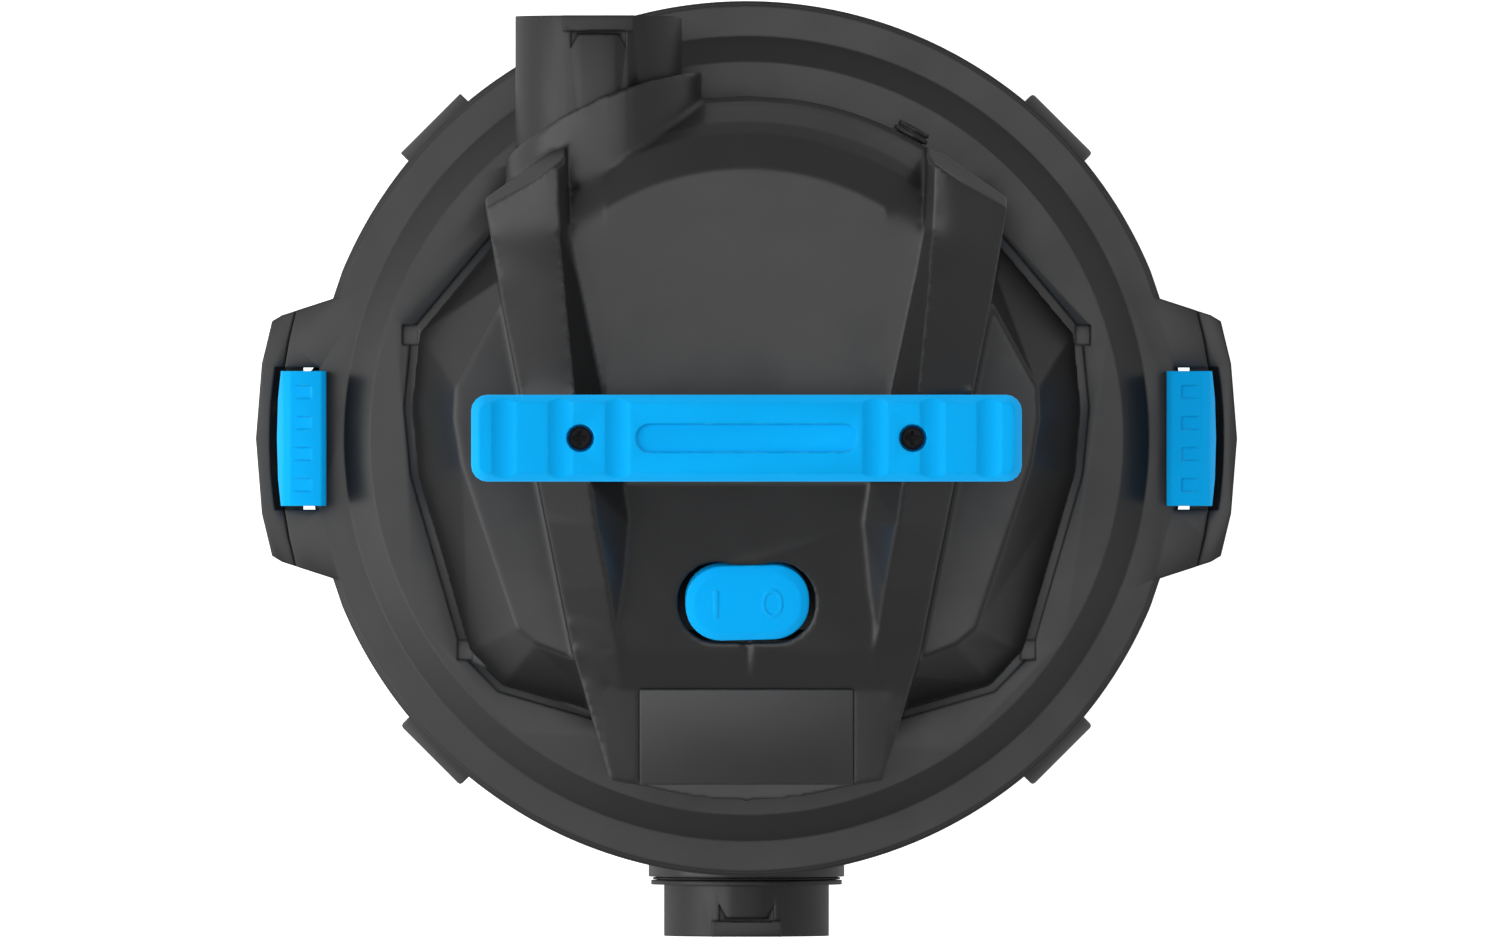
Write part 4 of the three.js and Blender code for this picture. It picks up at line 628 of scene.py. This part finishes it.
class VACUUM_OT_switch(bpy.types.Operator):
    """Model the rocker with its chamfer, line and circle"""

    bl_idname = "vacuum.switch"
    bl_label = "Switch"

    def execute(self, context):
        shape = context.scene.vacuum_shape
        rocker = merged_copy("rocker", "switch_button")
        face = max(rocker.data.polygons, key=lambda polygon: polygon.area)
        up = face.normal.copy()
        right = (Vector((1, 0, 0)) - up * up.x).normalized()
        seat = Matrix((right, up.cross(right), up)).transposed().to_4x4()
        seat.translation = sum((rocker.data.vertices[i].co for i in face.vertices), Vector())
        seat.translation /= len(face.vertices)
        soften(rocker, 0.0005, 2, 15)
        marks = [
            switch_line(seat, shape.mark_width, shape.mark_length),
            switch_circle(seat, shape.mark_width, shape.mark_length),
        ]
        only(rocker)
        for mark in marks:
            mark.select_set(True)
        bpy.ops.object.join()
        stand_for(shade(rocker, 12), finishes()["blue_plastic"], "switch_button")
        refine(None, 0.0004, "switch_body")
        return {"FINISHED"}


class VACUUM_OT_trim(bpy.types.Operator):
    """Finish the plate and the handle screws"""

    bl_idname = "vacuum.trim"
    bl_label = "Plate and screws"

    def execute(self, context):
        refine("plate_plastic", 0.0003, "nameplate")
        refine("black_screw", 0.0002, "handle_screw_left", "handle_screw_right", axis="z")
        refine(None, 0.0003, "latch_pin_left", "latch_pin_right", axis="y", smallest=0.001)
        return {"FINISHED"}


class VACUUM_OT_casters(bpy.types.Operator):
    """Round the four casters: foot, fork, axle and wheel"""

    bl_idname = "vacuum.casters"
    bl_label = "Casters"

    def execute(self, context):
        for number in range(1, 5):
            refine("dull_plastic", 0.0014, f"caster_foot_{number}")
            refine(None, 0.0006, f"caster_fork_{number}")
            refine(None, 0.0003, f"caster_axle_{number}", axis="x", smallest=0.001)
            refine(None, 0.0008, f"caster_wheel_{number}", axis="x")
        return {"FINISHED"}


class VACUUM_OT_seals(bpy.types.Operator):
    """Round the rubber seals and the drain cap"""

    bl_idname = "vacuum.seals"
    bl_label = "Seals and drain"

    def execute(self, context):
        refine(None, 0.0006, "lid_gasket", axis="z")
        refine(None, 0.0006, "inlet_gasket", "drain_gasket", axis="y")
        refine(None, 0.0006, "drain_cap", axis="y")
        return {"FINISHED"}


class VACUUM_OT_filter(bpy.types.Operator):
    """Fold the filter paper between its two end rings"""

    bl_idname = "vacuum.filter"
    bl_label = "Filter"

    def execute(self, context):
        low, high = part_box("cartridge_filter")
        centre = middle("cartridge_filter")
        outer = (high.x - low.x) / 2
        bore = min(
            (vertex.co.xy - centre.xy).length
            for vertex in frame["nodes"]["cartridge_filter"].data.vertices
        )
        bpy.ops.object.select_all(action="DESELECT")
        bpy.ops.mesh.primitive_circle_add(
            vertices=2 * context.scene.vacuum_shape.pleats,
            radius=outer - FILTER_INSET,
            location=(centre.x, centre.y, low.z + FILTER_RING / 2),
        )
        paper = context.active_object
        paper.name = paper.data.name = "pleated_paper"
        bpy.ops.object.mode_set(mode="EDIT")
        bpy.ops.mesh.select_mode(type="VERT")
        bpy.ops.mesh.select_all(action="DESELECT")
        mesh = bmesh.from_edit_mesh(paper.data)
        mesh.verts.ensure_lookup_table()
        for vertex in list(mesh.verts)[::2]:
            vertex.select = True
        mesh.select_flush(True)
        bmesh.update_edit_mesh(paper.data)
        tuck = (bore + FILTER_INSET) / (outer - FILTER_INSET)
        bpy.ops.transform.resize(value=(tuck, tuck, 1))
        bpy.ops.mesh.select_all(action="SELECT")
        bpy.ops.mesh.extrude_edges_move(
            TRANSFORM_OT_translate={"value": (0, 0, high.z - low.z - FILTER_RING)}
        )
        bpy.ops.mesh.select_all(action="SELECT")
        bpy.ops.mesh.normals_make_consistent(inside=False)
        bpy.ops.object.mode_set(mode="OBJECT")
        bpy.ops.object.transform_apply(location=True)
        sheet = paper.modifiers.new("sheet", "SOLIDIFY")
        sheet.thickness = PAPER_THICKNESS
        sheet.offset = 0
        apply_all(paper)
        stand_for(shade(paper, 20), finishes()["filter_paper"], "cartridge_filter")
        ends = (("filter_ring_low", low.z), ("filter_ring_high", high.z - FILTER_RING))
        for name, z in ends:
            end = flat_ring(name, (centre.x, centre.y, z), bore, outer, FILTER_RING)
            end.data.materials.append(finishes()["seal_rubber"])
            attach(end, BODY["cartridge_filter"])
        refine(None, 0.0006, "filter_cage", "filter_cap", "filter_knob", "float", axis="z")
        return {"FINISHED"}


class VACUUM_OT_motor(bpy.types.Operator):
    """Round the blower and the motor inside the cover"""

    bl_idname = "vacuum.motor"
    bl_label = "Motor and blower"

    def execute(self, context):
        refine(None, 0.0006, "fan_housing", "motor_bracket", axis="z")
        refine(
            None, 0.0003, "impeller", "cooling_fan", "motor_frame", "stator", "rotor_core",
            "commutator", "motor_shaft", "upper_bearing", "lower_bearing", axis="z",
        )
        refine(None, 0.0012, "field_coil_left", "field_coil_right")
        refine(None, 0.0003, "brush_left", "brush_right")
        return {"FINISHED"}


# ---------------------------------------------------------------------------
# Stage
# ---------------------------------------------------------------------------

def sun(name, strength, spread, side):
    """A very wide, even light that shines from a side towards the object."""
    light = bpy.data.lights.new(name, "SUN")
    light.energy = strength
    light.angle = math.radians(spread)
    lamp = bpy.data.objects.new(name, light)
    bpy.context.scene.collection.objects.link(lamp)
    lamp.rotation_euler = (-Vector(side)).to_track_quat("-Z", "Y").to_euler()
    lamp.location = Vector(side) * 3
    return lamp


def room(overhead, left_wall, right_wall):
    """An even room whose left and right walls are lighter than the rest."""
    world = bpy.data.worlds.new("room")
    world.use_nodes = True
    tree = world.node_tree
    split = tree.nodes.new("ShaderNodeSeparateXYZ")
    across = tree.nodes.new("ShaderNodeMapRange")
    walls = tree.nodes.new("ShaderNodeValToRGB")
    tree.links.new(tree.nodes.new("ShaderNodeTexCoord").outputs["Generated"], split.inputs[0])
    tree.links.new(split.outputs["X"], across.inputs["Value"])
    across.inputs["From Min"].default_value = -1
    tree.links.new(across.outputs["Result"], walls.inputs["Fac"])
    levels = ((0.0, left_wall), (0.40, overhead), (0.62, overhead), (1.0, right_wall))
    ramp = walls.color_ramp.elements
    while len(ramp) < len(levels):
        ramp.new(0.5)
    for stop, (place, level) in zip(ramp, levels):
        stop.position = place
        stop.color = (level, level, level, 1)
    tree.links.new(walls.outputs["Color"], tree.nodes["Background"].inputs["Color"])
    return world


class VACUUM_OT_stage(bpy.types.Operator):
    """Set the floor, the lights and the camera looking straight down"""

    bl_idname = "vacuum.stage"
    bl_label = "Stage"

    def execute(self, context):
        stage = context.scene.vacuum_stage
        bpy.ops.object.select_all(action="DESELECT")
        bpy.ops.mesh.primitive_plane_add(size=30, location=(0, 0, 0))
        floor = context.active_object
        floor.name = "floor"
        pale = Recipe("pale_floor")
        drift = pale.spread(pale.noise(2), 0.3, 0.7)
        tone = pale.mix(drift, rgba((0.88, 0.88, 0.88)), rgba((0.90, 0.90, 0.90)))
        pale.finish(tone, 0.8, pale.noise(300), 0.0001, 0.1)
        pale.shader.inputs["Emission Color"].default_value = (1, 1, 1, 1)
        pale.shader.inputs["Emission Strength"].default_value = 0.75
        floor.data.materials.append(pale.material)
        floor.visible_glossy = False

        context.scene.world = room(stage.ambient, stage.left_wall, stage.right_wall)
        sun("left_light", stage.left, 60, (-0.80, -0.10, 0.60))
        sun("top_light", stage.top, 50, (-0.02, 0.10, 1.0))
        context.scene.view_settings.view_transform = "Standard"

        lens = bpy.data.cameras.new("camera")
        lens.lens = stage.lens
        lens.clip_end = 100
        camera = bpy.data.objects.new("camera", lens)
        context.scene.collection.objects.link(camera)
        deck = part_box("lid")[1].z
        camera.location = (0, -0.0002, deck + stage.view_width * stage.lens / lens.sensor_width)
        context.scene.camera = camera
        return {"FINISHED"}


OPERATORS = (
    VACUUM_OT_stage, VACUUM_OT_drum, VACUUM_OT_lid, VACUUM_OT_cover,
    VACUUM_OT_handle, VACUUM_OT_latches, VACUUM_OT_ports, VACUUM_OT_switch, VACUUM_OT_trim,
    VACUUM_OT_casters, VACUUM_OT_seals, VACUUM_OT_filter, VACUUM_OT_motor,
)


class VACUUM_PT_panel(bpy.types.Panel):
    """The vacuum's pieces and settings"""

    bl_idname = "VACUUM_PT_panel"
    bl_label = "Shop Vacuum"
    bl_space_type = "VIEW_3D"
    bl_region_type = "UI"
    bl_category = "Vacuum"

    def draw(self, context):
        scene = context.scene
        for group in (scene.vacuum_finish, scene.vacuum_shape, scene.vacuum_stage):
            box = self.layout.box()
            for key in group.bl_rna.properties.keys():
                if key not in ("rna_type", "name"):
                    box.prop(group, key)
        for operator in OPERATORS:
            self.layout.operator(operator.bl_idname)


GROUPS = {
    "vacuum_finish": VacuumFinish,
    "vacuum_shape": VacuumShape,
    "vacuum_stage": VacuumStage,
}


def register():
    for group in GROUPS.values():
        bpy.utils.register_class(group)
    for operator in (*OPERATORS, VACUUM_PT_panel):
        bpy.utils.register_class(operator)
    for name, group in GROUPS.items():
        setattr(bpy.types.Scene, name, PointerProperty(type=group))


def unregister():
    for name in GROUPS:
        delattr(bpy.types.Scene, name)
    for made in reversed((*GROUPS.values(), *OPERATORS, VACUUM_PT_panel)):
        bpy.utils.unregister_class(made)


def main():
    register()
    for operator in OPERATORS:
        family, name = operator.bl_idname.split(".")
        getattr(getattr(bpy.ops, family), name)()


if __name__ == "__main__":
    main()
